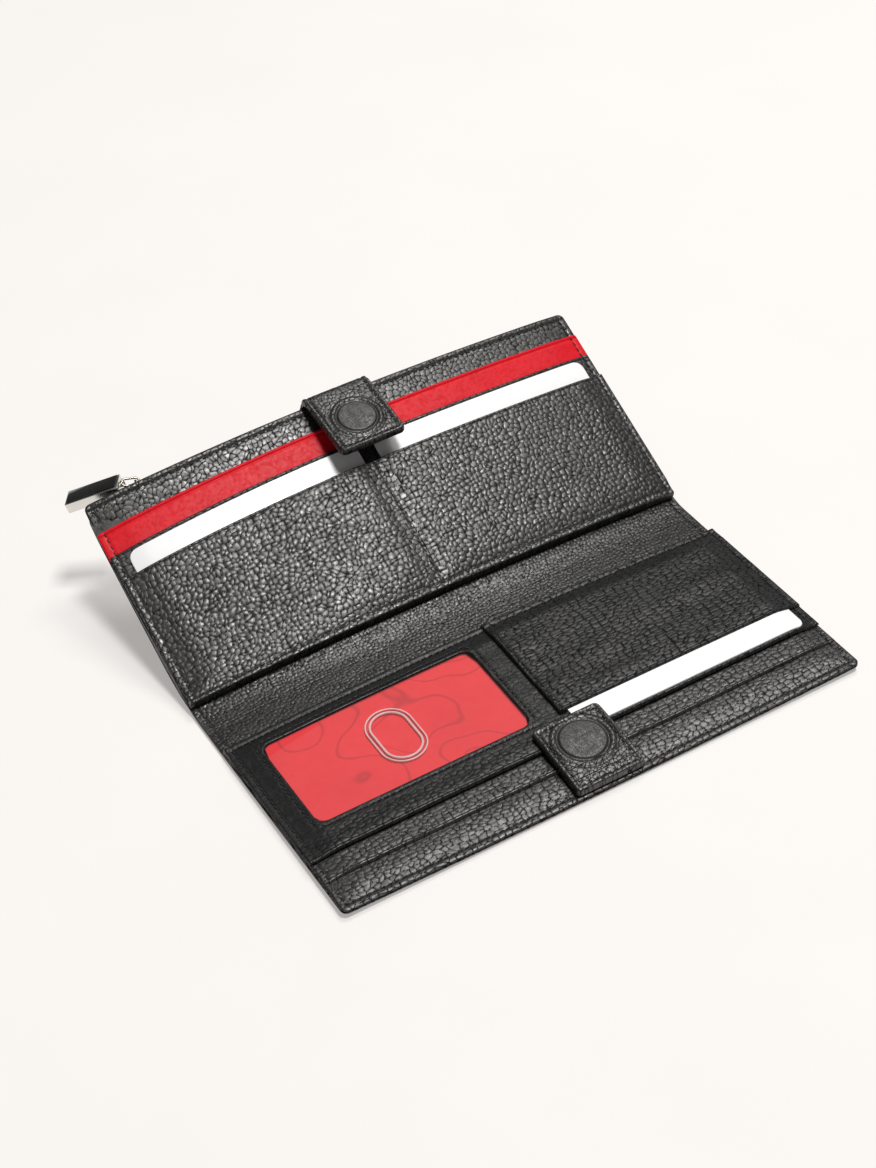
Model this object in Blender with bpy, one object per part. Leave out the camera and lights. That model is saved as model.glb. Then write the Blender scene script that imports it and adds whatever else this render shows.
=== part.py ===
"""Long wallet, open: two leather panels joined by a spine, with card slots, an ID window,
a zipped coin pocket and two magnetic tabs that meet when the wallet closes.

World frame: X runs along the spine, Y from the lower panel's outer edge towards the spine, +Z up.
The origin is the middle of the lower panel's underside, on the surface it lies on.
Sizes below are in millimetres. Inside a panel, y runs across it and z is the height in its stack.
"""

import math

import bmesh
import bpy
from mathutils import Euler, Vector

MM = 0.001

# driving sizes
WIDTH = 188.0
PANEL_DEPTH = 82.0
SPINE_WIDTH = 21.0
UPPER_TILT = 28.0
BOW, BOW_STEPS = 6.0, 12
LEATHER = 1.0
CORNER_RADIUS = 4.0
HINGE_HEIGHT = LEATHER / 2

# ISO card
CARD_WIDTH, CARD_HEIGHT, CARD_THICK, CARD_RADIUS = 85.6, 54.0, 0.76, 3.18

# stacks: (bottom, top) of each sheet above the outer face of its cover
LOWER_STACK = {
    "cover": (0.0, LEATHER),
    "lining": (1.2, 1.4),
    "base": (1.7, 2.3),
    "outer_slot": (2.5, 3.05),
    "insert": (3.25, 3.45),
    "plastic": (3.65, 3.85),
    "middle_slot": (4.05, 4.6),
    "card": (4.8, 4.8 + CARD_THICK),
    "inner_slot": (5.76, 6.3),
}
UPPER_STACK = {
    "cover": (0.0, LEATHER),
    "lining_outer": (1.2, 1.4),
    "lining_inner": (1.7, 1.9),
    "base": (2.1, 2.7),
    "red": (2.9, 3.45),
    "back_slot": (3.65, 4.2),
    "card": (4.4, 4.4 + CARD_THICK),
    "front": (5.36, 5.9),
}

# the sheets stop short of their hinge lines so that they can fold up
COVER_HINGE_GAP, SPINE_HINGE_GAP, STACK_HINGE_GAP = 0.4, 0.7, 1.5

# where the lower panel's slot sheets end, from its outer edge
OUTER_SLOT_EDGE, MIDDLE_SLOT_EDGE, INNER_SLOT_EDGE = 12.4, 21.0, 31.5
INNER_SLOT_LEFT = 94.8
WINDOW = (10.2, 33.4, 85.8, 73.0)
WINDOW_RADIUS = 3.5
WINDOW_OVERLAP = 3.0
THUMB_HOLE_WIDTH, THUMB_HOLE_LENGTH = 12.5, 21.0
INSERT_LEFT, INSERT_BOTTOM = 5.2, 24.0
LOWER_CARD_LEFT, LOWER_CARD_BOTTOM = 97.7, 22.3

# where the upper panel's sheets end, from its hinge
FRONT_EDGE, BACK_SLOT_EDGE, RED_EDGE = 53.6, 63.0, 72.3
LINING_EDGE, UPPER_COVER_EDGE = 73.6, 78.8
UPPER_CARD_LEFTS = {"card_left": 5.6, "card_right": 97.2}
UPPER_CARD_BOTTOM = 7.3

# zip behind the upper panel's free edge; the slider's way is straight, along a chord of the bow
TAPE_BOTTOM = 74.0
CHAIN_LEFT, CHAIN_RIGHT = 11.0, 182.0
CHAIN_BOTTOM, CHAIN_TOP = 79.2, 80.3
CHAIN_DEPTH = (-1.9, 0.1)
STOP_LENGTH = 3.0
SLIDER_X, SLIDER_LENGTH, SLIDER_TRAVEL = 20.0, 8.0, 57.0
SLIDER_WALL, SLIDER_CLEAR, ROOF_CLEAR = 0.6, 0.8, 0.25
BAIL_BAR = 1.0
PIVOT_RISE = 1.85
LINK_LENGTH, LINK_RADIUS, LINK_HOLE = 3.4, 1.6, 0.9
BAR_SIZE = (19.5, 8.2, 4.1)
BAR_LEAN, BAR_TILT, BAR_ROLL = 17.0, 26.0, 35.0
INLAY_THICK, INLAY_MARGIN = 0.4, 0.6

# magnetic tabs
TAB_WIDTH = 24.8
TAB_BACK, TAB_FRONT, TAB_GAP = 0.7, 1.7, 0.2
MAGNET_RADIUS, MAGNET_THICK, MAGNET_CLEAR = 7.5, 0.9, 0.3
UPPER_TAB_HINGE = (82.8, 12.0)
UPPER_TAB_RAISE = 16.0
UPPER_TAB_START, UPPER_TAB_END = 1.2, 28.4
STRAP_BACK_START, STRAP_JOG_START, STRAP_JOG_END, STRAP_THICK = 60.0, 71.0, 77.0, 1.0
STRAP_BACK_HEIGHT, STRAP_ZIP_HEIGHT = -0.2, -2.3
LOWER_TAB_BEND = ((6.2, 3.4), (9.3, 5.75), (27.5, 6.1))
LOWER_TAB_ANCHOR = (0.8, 5.2, 2.5, 5.0)
LOWER_TAB_HINGE = (5.6, 4.6)
LOWER_MAGNET_Y = 17.5

THREAD_RADIUS, THREAD_LIFT, SEAM_INSET = 0.22, 0.25, 2.5
CURVE_STEPS = 6
DISC_STEPS = 32

COLOURS = {
    "black_leather": ((0.022, 0.021, 0.021), 0.55, 0.0),
    "smooth_leather": ((0.02, 0.02, 0.021), 0.42, 0.0),
    "red_leather": ((0.60, 0.012, 0.03), 0.5, 0.0),
    "lining_fabric": ((0.03, 0.03, 0.032), 0.85, 0.0),
    "thread": ((0.012, 0.012, 0.013), 0.7, 0.0),
    "clear_plastic": ((0.9, 0.55, 0.56), 0.15, 0.0),
    "red_paper": ((0.80, 0.05, 0.06), 0.6, 0.0),
    "white_card": ((0.88, 0.88, 0.9), 0.35, 0.0),
    "zip_metal": ((0.32, 0.30, 0.28), 0.3, 1.0),
    "zip_tape": ((0.02, 0.02, 0.02), 0.9, 0.0),
    "satin_silver": ((0.72, 0.71, 0.69), 0.25, 1.0),
    "black_enamel": ((0.01, 0.01, 0.012), 0.12, 0.0),
    "magnet": ((0.45, 0.45, 0.47), 0.35, 1.0),
}


def clear_scene():
    for item in list(bpy.data.objects):
        bpy.data.objects.remove(item, do_unlink=True)


def material(name):
    found = bpy.data.materials.get(name)
    if found:
        return found
    colour, roughness, metallic = COLOURS[name]
    made = bpy.data.materials.new(name)
    made.use_nodes = True
    shader = made.node_tree.nodes["Principled BSDF"]
    shader.inputs["Base Color"].default_value = (*colour, 1.0)
    shader.inputs["Roughness"].default_value = roughness
    shader.inputs["Metallic"].default_value = metallic
    if name == "clear_plastic":
        shader.inputs["Alpha"].default_value = 0.4
    return made


def frame(name, parent=None, place=(0, 0, 0), turn=(0, 0, 0)):
    """An empty that carries the sheets of one panel or moving piece; place in mm, turn in degrees."""
    empty = bpy.data.objects.new(name, None)
    bpy.context.collection.objects.link(empty)
    empty.empty_display_size = 0.01
    empty.parent = parent
    empty.location = Vector(place) * MM
    empty.rotation_euler = Euler([math.radians(angle) for angle in turn])
    return empty


def add_object(name, data, parent, colour):
    item = bpy.data.objects.new(name, data)
    bpy.context.collection.objects.link(item)
    item.parent = parent
    data.materials.append(material(colour))
    return item


def arc(centre, radius, start, stop, steps=CURVE_STEPS):
    """Points on an arc, angles in degrees."""
    points = []
    for step in range(steps + 1):
        angle = math.radians(start + (stop - start) * step / steps)
        points.append((centre[0] + radius * math.cos(angle), centre[1] + radius * math.sin(angle)))
    return points


def rectangle(left, low, right, high, radii=(0, 0, 0, 0)):
    """A rectangle whose corners turn by radii, anticlockwise from the low left one."""
    corners = (
        (left, low, 1, 1, 180),
        (right, low, -1, 1, 270),
        (right, high, -1, -1, 0),
        (left, high, 1, -1, 90),
    )
    points = []
    for (x, y, inward_x, inward_y, start), radius in zip(corners, radii):
        if radius:
            points += arc((x + inward_x * radius, y + inward_y * radius), radius, start, start + 90)
        else:
            points.append((x, y))
    return points


def disc(centre, radius):
    return arc(centre, radius, 0, 360 * (DISC_STEPS - 1) / DISC_STEPS, DISC_STEPS - 1)


def stadium(centre, width, length):
    """A slot outline with round ends, its length along y."""
    half, straight = width / 2, (length - width) / 2
    x, y = centre
    return arc((x, y + straight), half, 0, 180, 10) + arc((x, y - straight), half, 180, 360, 10)


def prism_mesh(name, outline, low, high, place):
    """A closed solid: the outline at low and at high, mapped into 3-D by place(a, b, height)."""
    mesh = bmesh.new()
    bottom = [mesh.verts.new(Vector(place(a, b, low)) * MM) for a, b in outline]
    top = [mesh.verts.new(Vector(place(a, b, high)) * MM) for a, b in outline]
    mesh.faces.new(bottom)
    mesh.faces.new(top)
    count = len(outline)
    for index in range(count):
        after = (index + 1) % count
        mesh.faces.new((bottom[index], bottom[after], top[after], top[index]))
    bmesh.ops.recalc_face_normals(mesh, faces=mesh.faces)
    data = bpy.data.meshes.new(name)
    mesh.to_mesh(data)
    mesh.free()
    return data


def bow(x):
    """How far the upper panel's sheets arch out at x, in straight steps."""
    step = WIDTH / BOW_STEPS
    index = min(int(x / step), BOW_STEPS - 1)
    near, far = (BOW * (1 - (2 * knot / BOW_STEPS - 1) ** 2) for knot in (index, index + 1))
    return near + (far - near) * (x / step - index)


def arch(data):
    """Cuts a flat solid into strips along x and lifts them onto the bow."""
    mesh = bmesh.new()
    mesh.from_mesh(data)
    for knot in range(1, BOW_STEPS):
        plane = (WIDTH * knot / BOW_STEPS * MM, 0, 0)
        geometry = list(mesh.verts) + list(mesh.edges) + list(mesh.faces)
        bmesh.ops.bisect_plane(mesh, geom=geometry, dist=1e-7, plane_co=plane, plane_no=(1, 0, 0))
    for vert in mesh.verts:
        vert.co.z += bow(vert.co.x / MM) * MM
    mesh.to_mesh(data)
    mesh.free()


def arch_seam(points):
    """Lifts a seam's points onto the bow, with a new point at each edge between strips."""
    lifted = []
    for (x, y, z), (far_x, far_y, far_z) in zip(points, points[1:] + points[-1:]):
        lifted.append((x, y, z + bow(x)))
        knots = [WIDTH * knot / BOW_STEPS for knot in range(1, BOW_STEPS)]
        passed = [knot for knot in knots if min(x, far_x) < knot < max(x, far_x)]
        for knot in sorted(passed, reverse=far_x < x):
            share = (knot - x) / (far_x - x)
            lifted.append((knot, y + (far_y - y) * share, z + (far_z - z) * share + bow(knot)))
    return lifted


def flat(a, b, height):
    """Outline in the panel's plane, height along its normal."""
    return (a, b, height)


def sideways(a, b, height):
    """Outline in the y-z plane, height along x."""
    return (height, a, b)


def sheet(name, outline, span, parent, colour, place=flat):
    return add_object(name, prism_mesh(name, outline, *span, place), parent, colour)


def arched_sheet(name, outline, span, parent, colour, place=flat):
    item = sheet(name, outline, span, parent, colour, place)
    arch(item.data)
    return item


def cut(item, outline, span, place=flat):
    """Takes a prism out of an object with a Boolean whose cutter stays hidden."""
    name = item.name + "_cutter"
    cutter = bpy.data.objects.new(name, prism_mesh(name, outline, *span, place))
    bpy.context.collection.objects.link(cutter)
    cutter.parent = item.parent
    cutter.hide_render = True
    cutter.display_type = "WIRE"
    boolean = item.modifiers.new("opening", "BOOLEAN")
    boolean.operation = "DIFFERENCE"
    boolean.solver = "EXACT"
    boolean.object = cutter
    return item


def thread(name, points, parent, closed=False):
    """One sewing thread laid along a seam."""
    curve = bpy.data.curves.new(name, "CURVE")
    curve.dimensions = "3D"
    spline = curve.splines.new("POLY")
    spline.points.add(len(points) - 1)
    for point, place in zip(spline.points, points):
        point.co = (*(Vector(place) * MM), 1.0)
    spline.use_cyclic_u = closed
    curve.bevel_depth = THREAD_RADIUS * MM
    curve.bevel_resolution = 0
    curve.use_fill_caps = not closed
    return add_object(name, curve, parent, "thread")


def seam_height(top):
    return top + THREAD_LIFT + THREAD_RADIUS


def build_lower_panel(parent):
    stack = LOWER_STACK
    inner = PANEL_DEPTH - STACK_HINGE_GAP
    round_outer = (CORNER_RADIUS, CORNER_RADIUS, 0, 0)
    cover_end = PANEL_DEPTH - COVER_HINGE_GAP
    whole = rectangle(0, 0, WIDTH, cover_end, round_outer)
    sheet("lower_cover", whole, stack["cover"], parent, "black_leather")
    lining = rectangle(2, 2, WIDTH - 2, inner, (2, 2, 0, 0))
    sheet("bill_pocket_lining", lining, stack["lining"], parent, "lining_fabric")
    sheet("lower_base_panel", rectangle(0, 0, WIDTH, inner, round_outer), stack["base"], parent, "black_leather")
    outer_slot = rectangle(0.3, OUTER_SLOT_EDGE, WIDTH - 0.3, inner)
    sheet("slot_panel_outer", outer_slot, stack["outer_slot"], parent, "black_leather")
    middle_slot = rectangle(0.3, MIDDLE_SLOT_EDGE, WIDTH - 0.3, inner)
    middle = sheet("slot_panel_middle", middle_slot, stack["middle_slot"], parent, "smooth_leather")
    bottom, top = stack["middle_slot"]
    cut(middle, rectangle(*WINDOW, [WINDOW_RADIUS] * 4), (bottom - 1, top + 1))
    inner_slot = rectangle(INNER_SLOT_LEFT, INNER_SLOT_EDGE, WIDTH - 0.3, inner)
    sheet("slot_panel_inner", inner_slot, stack["inner_slot"], parent, "black_leather")
    build_window(parent)
    build_lower_threads(parent)


def build_window(parent):
    left, low, right, high = WINDOW
    edge = WINDOW_OVERLAP
    bottom, top = LOWER_STACK["plastic"]
    outline = rectangle(left - edge, low - edge, right + edge, high + edge)
    plastic = sheet("window_plastic", outline, (bottom, top), parent, "clear_plastic")
    middle = ((left + right) / 2, (low + high) / 2)
    cut(plastic, stadium(middle, THUMB_HOLE_WIDTH, THUMB_HOLE_LENGTH), (bottom - 1, top + 1))


def build_lower_threads(parent):
    stack = LOWER_STACK
    inset = SEAM_INSET
    base, outer = seam_height(stack["base"][1]), seam_height(stack["outer_slot"][1])
    middle, inner = seam_height(stack["middle_slot"][1]), seam_height(stack["inner_slot"][1])
    end = PANEL_DEPTH - STACK_HINGE_GAP - inset
    left_side = [
        (inset, end, middle),
        (inset, MIDDLE_SLOT_EDGE, middle),
        (inset, MIDDLE_SLOT_EDGE - 0.8, outer),
        (inset, OUTER_SLOT_EDGE, outer),
        (inset, OUTER_SLOT_EDGE - 0.8, base),
        (inset, inset, base),
    ]
    right = WIDTH - inset
    right_side = [
        (right, inset, base),
        (right, OUTER_SLOT_EDGE - 0.8, base),
        (right, OUTER_SLOT_EDGE, outer),
        (right, MIDDLE_SLOT_EDGE - 0.8, outer),
        (right, MIDDLE_SLOT_EDGE, middle),
        (right, INNER_SLOT_EDGE - 0.8, middle),
        (right, INNER_SLOT_EDGE, inner),
        (right, end, inner),
        (INNER_SLOT_LEFT + 1.5, end, inner),
    ]
    tab_left, tab_right = (WIDTH - TAB_WIDTH) / 2 - 1, (WIDTH + TAB_WIDTH) / 2 + 1
    thread("lower_seam_thread_left", left_side + [(tab_left, inset, base)], parent)
    thread("lower_seam_thread_right", [(tab_right, inset, base)] + right_side, parent)
    margin = 1.6
    left, low, far, high = WINDOW
    ring = rectangle(left - margin, low - margin, far + margin, high + margin, [WINDOW_RADIUS + margin] * 4)
    thread("window_thread", [(x, y, middle) for x, y in ring], parent, closed=True)
    divider_x = INNER_SLOT_LEFT + 1.5
    divider = [(divider_x, INNER_SLOT_EDGE + 0.5, inner), (divider_x, end - 1.0, inner)]
    thread("divider_thread", divider, parent)


def build_card(name, left, low, span, parent, colour="white_card"):
    outline = rectangle(left, low, left + CARD_WIDTH, low + CARD_HEIGHT, [CARD_RADIUS] * 4)
    return sheet(name, outline, span, parent, colour)


def build_upper_cards(parent):
    for name, left in UPPER_CARD_LEFTS.items():
        arch(build_card(name, left, UPPER_CARD_BOTTOM, upper_span("card"), parent).data)


def tab_pieces(name, parent, back, front, magnet_centre, magnet_low):
    """Back and front leather of a tab with the magnet in a round pocket between them."""
    x, y = magnet_centre
    sheet(name + "_tab_back", *back, parent, "black_leather", sideways)
    leather = sheet(name + "_tab_front", *front, parent, "black_leather", sideways)
    pocket = disc((x, y), MAGNET_RADIUS + MAGNET_CLEAR)
    cut(leather, pocket, (magnet_low - 1.2, magnet_low + MAGNET_THICK + 0.15))
    span = (magnet_low, magnet_low + MAGNET_THICK)
    sheet(name + "_magnet", disc((x, y), MAGNET_RADIUS), span, parent, "magnet")


def tab_seam(left, right, start, end, height):
    """Three sides of a tab's seam, from its fixed end round its free end and back."""
    inset = 2.0
    free = end - inset if end > start else end + inset
    return [
        (left + inset, start, height(start)),
        (left + inset, free, height(free)),
        (right - inset, free, height(free)),
        (right - inset, start, height(start)),
    ]


def build_lower_tab(panel, tab):
    left, right = (WIDTH - TAB_WIDTH) / 2, (WIDTH + TAB_WIDTH) / 2
    near, far, low, high = LOWER_TAB_ANCHOR
    sheet("lower_tab_anchor", rectangle(near, low, far, high), (left, right), panel, "black_leather", sideways)
    anchor_height = seam_height(high)
    anchor_seam = [(left + 1.5, 2.2, anchor_height), (right - 1.5, 2.2, anchor_height)]
    thread("lower_anchor_thread", anchor_seam, panel)
    hinge_y, hinge_z = LOWER_TAB_HINGE
    bend = [(y - hinge_y, z - hinge_z) for y, z in LOWER_TAB_BEND]

    def layer(bottom, top):
        lower = [(y, z + bottom) for y, z in bend]
        return lower + [(y, z + top) for y, z in reversed(bend)]

    total = TAB_BACK + TAB_GAP + TAB_FRONT
    rise = (bend[2][1] - bend[1][1]) / (bend[2][0] - bend[1][0])
    magnet_y = LOWER_MAGNET_Y - hinge_y
    bottom = bend[1][1] + rise * (magnet_y + MAGNET_RADIUS - bend[1][0]) + TAB_BACK + TAB_GAP
    back = (layer(0, TAB_BACK), (left, right))
    front = (layer(TAB_BACK + TAB_GAP, total), (left, right))
    tab_pieces("lower", tab, back, front, (WIDTH / 2, magnet_y), bottom + 0.05)

    def top_height(y):
        return bend[1][1] + rise * (y - bend[1][0]) + seam_height(total)

    seam = tab_seam(left, right, bend[1][0] + 0.5, bend[2][0], top_height)
    thread("lower_tab_thread", seam, tab)


def build_strap(panel):
    """Carries the upper tab: sewn to the cover's back, out past the zip and over the panel's edge."""
    left, right = (WIDTH - TAB_WIDTH) / 2, (WIDTH + TAB_WIDTH) / 2
    near, far = STRAP_BACK_HEIGHT, STRAP_ZIP_HEIGHT
    inner_top, end = PANEL_DEPTH + 0.4, UPPER_TAB_HINGE[1] - BOW - 1.0
    outer_top = inner_top + STRAP_THICK
    strap = [
        (STRAP_BACK_START, near - STRAP_THICK),
        (STRAP_JOG_START, near - STRAP_THICK),
        (STRAP_JOG_END, far - STRAP_THICK),
        (outer_top, far - STRAP_THICK),
        (outer_top, end),
        (inner_top, end),
        (inner_top, far),
        (STRAP_JOG_END, far),
        (STRAP_JOG_START, near),
        (STRAP_BACK_START, near),
    ]
    strap = [(y, z - HINGE_HEIGHT) for y, z in strap]
    arched_sheet("upper_tab_strap", strap, (left, right), panel, "black_leather", sideways)
    height = near - STRAP_THICK - HINGE_HEIGHT - THREAD_LIFT - THREAD_RADIUS
    low, high = STRAP_BACK_START + 2, STRAP_JOG_START - 0.5
    seam = [(left + 2, high, height), (left + 2, low, height), (right - 2, low, height)]
    thread("strap_thread", arch_seam(seam + [(right - 2, high, height)]), panel)


def build_upper_tab(tab):
    left, right = (WIDTH - TAB_WIDTH) / 2, (WIDTH + TAB_WIDTH) / 2
    bottom = -0.6
    joint, top = bottom + TAB_BACK + TAB_GAP, bottom + TAB_BACK + TAB_GAP + TAB_FRONT
    near, far = -UPPER_TAB_START, -UPPER_TAB_END
    back = (rectangle(far, bottom, near, bottom + TAB_BACK), (left, right))
    front = (rectangle(far, joint, near, top), (left, right))
    magnet_y = far + 11.0
    tab_pieces("upper", tab, back, front, (WIDTH / 2, magnet_y), joint + 0.05)
    seam = tab_seam(left, right, near - 1.0, far, lambda y: seam_height(top))
    thread("upper_tab_thread", seam, tab)


def build_spine(parent):
    start, end = SPINE_HINGE_GAP, SPINE_WIDTH - SPINE_HINGE_GAP
    cover = (-HINGE_HEIGHT, LEATHER - HINGE_HEIGHT)
    sheet("spine_cover", rectangle(0, start, WIDTH, end), cover, parent, "black_leather")
    liner = (1.2 - HINGE_HEIGHT, 1.8 - HINGE_HEIGHT)
    sheet("spine_liner", rectangle(0.3, start, WIDTH - 0.3, end), liner, parent, "black_leather")


def upper_span(name):
    """A sheet's height span, from the hinge line that the upper panel's frame sits on."""
    bottom, top = UPPER_STACK[name]
    return (bottom - HINGE_HEIGHT, top - HINGE_HEIGHT)


def build_upper_panel(parent):
    start, top = STACK_HINGE_GAP, PANEL_DEPTH
    radii = (0, 0, CORNER_RADIUS, CORNER_RADIUS)
    lining = rectangle(2, start + 2, WIDTH - 2, LINING_EDGE)
    sheets = (
        ("upper_cover", "cover", rectangle(0, start, WIDTH, UPPER_COVER_EDGE, radii), "black_leather"),
        ("coin_pocket_lining_outer", "lining_outer", lining, "lining_fabric"),
        ("coin_pocket_lining_inner", "lining_inner", lining, "lining_fabric"),
        ("upper_base_panel", "base", rectangle(0, start, WIDTH, top, radii), "black_leather"),
        ("red_slip_pocket", "red", rectangle(0, start, WIDTH, RED_EDGE), "red_leather"),
        ("card_slot_back", "back_slot", rectangle(0.3, start, WIDTH - 0.3, BACK_SLOT_EDGE), "black_leather"),
        ("card_pocket_front", "front", rectangle(0.3, start, WIDTH - 0.3, FRONT_EDGE), "black_leather"),
    )
    for name, layer, outline, colour in sheets:
        arched_sheet(name, outline, upper_span(layer), parent, colour)
    build_upper_threads(parent)


def build_upper_threads(parent):
    inset = SEAM_INSET
    front = seam_height(upper_span("front")[1])
    back = seam_height(upper_span("back_slot")[1])
    red = seam_height(upper_span("red")[1])
    base = seam_height(upper_span("base")[1])
    low = STACK_HINGE_GAP + inset

    def side(x):
        return [
            (x, low, front),
            (x, FRONT_EDGE, front),
            (x, FRONT_EDGE + 0.8, back),
            (x, BACK_SLOT_EDGE, back),
            (x, BACK_SLOT_EDGE + 0.8, red),
            (x, RED_EDGE, red),
            (x, RED_EDGE + 0.8, base),
            (x, PANEL_DEPTH - inset, base),
        ]

    left, right = inset, WIDTH - inset
    sides = list(reversed(side(left))) + side(right)
    top = PANEL_DEPTH - inset
    edge = [(left + 1.5, top, base), (right - 1.5, top, base)]
    divider = [(WIDTH / 2, low + 1.0, front), (WIDTH / 2, FRONT_EDGE - 0.5, front)]
    seams = {"upper_seam_thread": sides, "zip_edge_thread": edge, "pocket_divider_thread": divider}
    for name, points in seams.items():
        thread(name, arch_seam(points), parent)


def build_zip(panel):
    bottom, top = CHAIN_DEPTH[0] - HINGE_HEIGHT, CHAIN_DEPTH[1] - HINGE_HEIGHT
    tape = rectangle(4, TAPE_BOTTOM, WIDTH - 4, CHAIN_BOTTOM - 0.3)
    arched_sheet("zip_tape_outer", tape, upper_span("lining_outer"), panel, "zip_tape")
    arched_sheet("zip_tape_inner", tape, upper_span("lining_inner"), panel, "zip_tape")
    chain = rectangle(CHAIN_LEFT, CHAIN_BOTTOM, CHAIN_RIGHT, CHAIN_TOP)
    arched_sheet("zip_chain", chain, (bottom, top), panel, "zip_metal")
    stops = {"zip_stop_left": CHAIN_LEFT - 0.3 - STOP_LENGTH, "zip_stop_right": CHAIN_RIGHT + 0.3}
    for name, left in stops.items():
        outline = rectangle(left, CHAIN_BOTTOM, left + STOP_LENGTH, CHAIN_TOP)
        arched_sheet(name, outline, (bottom, top), panel, "zip_metal")


def slider_frame(panel):
    """Stands at the puller's pivot, with its x along the slider's straight way."""
    middle = sum(CHAIN_DEPTH) / 2 - HINGE_HEIGHT + bow(SLIDER_X)
    rise = bow(SLIDER_X + SLIDER_TRAVEL) - bow(SLIDER_X)
    slope = math.degrees(math.atan2(rise, SLIDER_TRAVEL))
    return frame("zip_slider_frame", panel, (SLIDER_X, slider_top() + PIVOT_RISE, middle), (0, -slope, 0))


def slider_top():
    return CHAIN_TOP + ROOF_CLEAR + SLIDER_WALL


def build_slider(parent):
    """A channel that straddles the chain, with the bail that holds the puller standing on it."""
    half = SLIDER_LENGTH / 2
    inner = (CHAIN_DEPTH[1] - CHAIN_DEPTH[0]) / 2 + SLIDER_CLEAR
    outer = inner + SLIDER_WALL
    low, roof, top = CHAIN_BOTTOM - 0.1, CHAIN_TOP + ROOF_CLEAR, slider_top()
    channel = [(low, -outer), (top, -outer), (top, outer), (low, outer)]
    channel += [(low, inner), (roof, inner), (roof, -inner), (low, -inner)]
    pivot = top + PIVOT_RISE
    channel = [(y - pivot, z) for y, z in channel]
    sheet("zip_slider", channel, (-half, half), parent, "zip_metal", sideways)
    foot, leg, inside = top + 0.2 - pivot, 1.25, 0.75
    bar = BAIL_BAR / 2
    bail = [(foot, -leg), (bar, -leg), (bar, leg), (foot, leg), (foot, inside)]
    bail += [(-bar, inside), (-bar, -inside), (foot, -inside)]
    sheet("zip_bail", bail, (-bar, bar), parent, "zip_metal", sideways)


def build_puller(swing, bar):
    """A ring link round the bail, and the bar that hangs from its far end along the frame's +x."""
    half = 0.5
    ends = arc((LINK_LENGTH, 0), LINK_RADIUS, -90, 90, 8) + arc((0, 0), LINK_RADIUS, 90, 270, 8)
    link = sheet("pull_link", ends, (-half, half), swing, "zip_metal")
    hole = arc((LINK_LENGTH, 0), LINK_HOLE, -90, 90, 8) + arc((0, 0), LINK_HOLE, 90, 270, 8)
    cut(link, hole, (-half - 1, half + 1))
    length, width, thick = BAR_SIZE
    start = LINK_RADIUS + 0.3
    case_top = thick / 2 - INLAY_THICK - 0.2
    outline = rectangle(start, -width / 2, start + length, width / 2)
    case = sheet("pull_bar", outline, (-thick / 2, case_top), bar, "satin_silver")
    bevel = case.modifiers.new("soft_edges", "BEVEL")
    bevel.width = 0.25 * MM
    bevel.segments = 1
    edge = INLAY_MARGIN
    face = rectangle(start + edge, edge - width / 2, start + length - edge, width / 2 - edge)
    sheet("pull_bar_inlay", face, (case_top + 0.2, thick / 2), bar, "black_enamel")


def main():
    clear_scene()
    wallet = frame("wallet", place=(-WIDTH / 2, -PANEL_DEPTH / 2, 0))
    build_lower_panel(wallet)
    build_card("id_insert", INSERT_LEFT, INSERT_BOTTOM, LOWER_STACK["insert"], wallet, "red_paper")
    build_card("card_lower", LOWER_CARD_LEFT, LOWER_CARD_BOTTOM, LOWER_STACK["card"], wallet)
    lower_tab = frame("lower_tab_hinge", wallet, (0, *LOWER_TAB_HINGE))
    build_lower_tab(wallet, lower_tab)
    spine = frame("spine_hinge", wallet, (0, PANEL_DEPTH, HINGE_HEIGHT))
    build_spine(spine)
    upper = frame("upper_panel_hinge", spine, (0, SPINE_WIDTH, 0), (UPPER_TILT, 0, 0))
    build_upper_panel(upper)
    build_upper_cards(upper)
    build_zip(upper)
    build_strap(upper)
    tab_hinge = (0, UPPER_TAB_HINGE[0], UPPER_TAB_HINGE[1] - HINGE_HEIGHT)
    build_upper_tab(frame("upper_tab_hinge", upper, tab_hinge, (-UPPER_TAB_RAISE, 0, 0)))
    slider = slider_frame(upper)
    build_slider(slider)
    swing = frame("puller_hinge", slider, turn=(0, 0, 180 - BAR_LEAN))
    tilted = frame("pull_bar_hinge", swing, (LINK_LENGTH, 0, 0), (0, BAR_TILT, 0))
    rolled = frame("pull_bar_frame", tilted, turn=(BAR_ROLL, 0, 0))
    build_puller(swing, rolled)


main()
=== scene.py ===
"""Looks for the long wallet: grained leather sheets, stitching, zip, window, cards and magnetic tabs.

All sizes here are in millimetres in the wallet's own coordinates and are turned into metres when a
mesh is made. x runs along the spine from 0 to WIDTH, y or v runs across the panels from the lower
panel's outer edge, and z is the height above the outer face of the cover.
"""

import math

import bmesh
import bpy
import numpy as np
from mathutils import Matrix, Vector


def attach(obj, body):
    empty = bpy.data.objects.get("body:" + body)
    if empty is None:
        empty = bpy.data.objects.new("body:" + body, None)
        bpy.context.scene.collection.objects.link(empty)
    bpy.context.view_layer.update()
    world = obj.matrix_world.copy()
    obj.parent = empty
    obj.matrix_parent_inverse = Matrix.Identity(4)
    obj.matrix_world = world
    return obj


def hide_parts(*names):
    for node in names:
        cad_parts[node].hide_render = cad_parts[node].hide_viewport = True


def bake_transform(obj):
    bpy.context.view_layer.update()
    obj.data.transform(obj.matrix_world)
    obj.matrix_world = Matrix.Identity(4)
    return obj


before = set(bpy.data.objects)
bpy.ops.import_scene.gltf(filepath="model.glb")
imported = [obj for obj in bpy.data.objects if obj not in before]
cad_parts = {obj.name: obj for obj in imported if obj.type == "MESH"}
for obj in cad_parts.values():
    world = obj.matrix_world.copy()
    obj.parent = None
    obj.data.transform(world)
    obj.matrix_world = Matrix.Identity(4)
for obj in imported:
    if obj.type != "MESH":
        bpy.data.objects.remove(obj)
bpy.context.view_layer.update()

MM = 0.001
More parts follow.
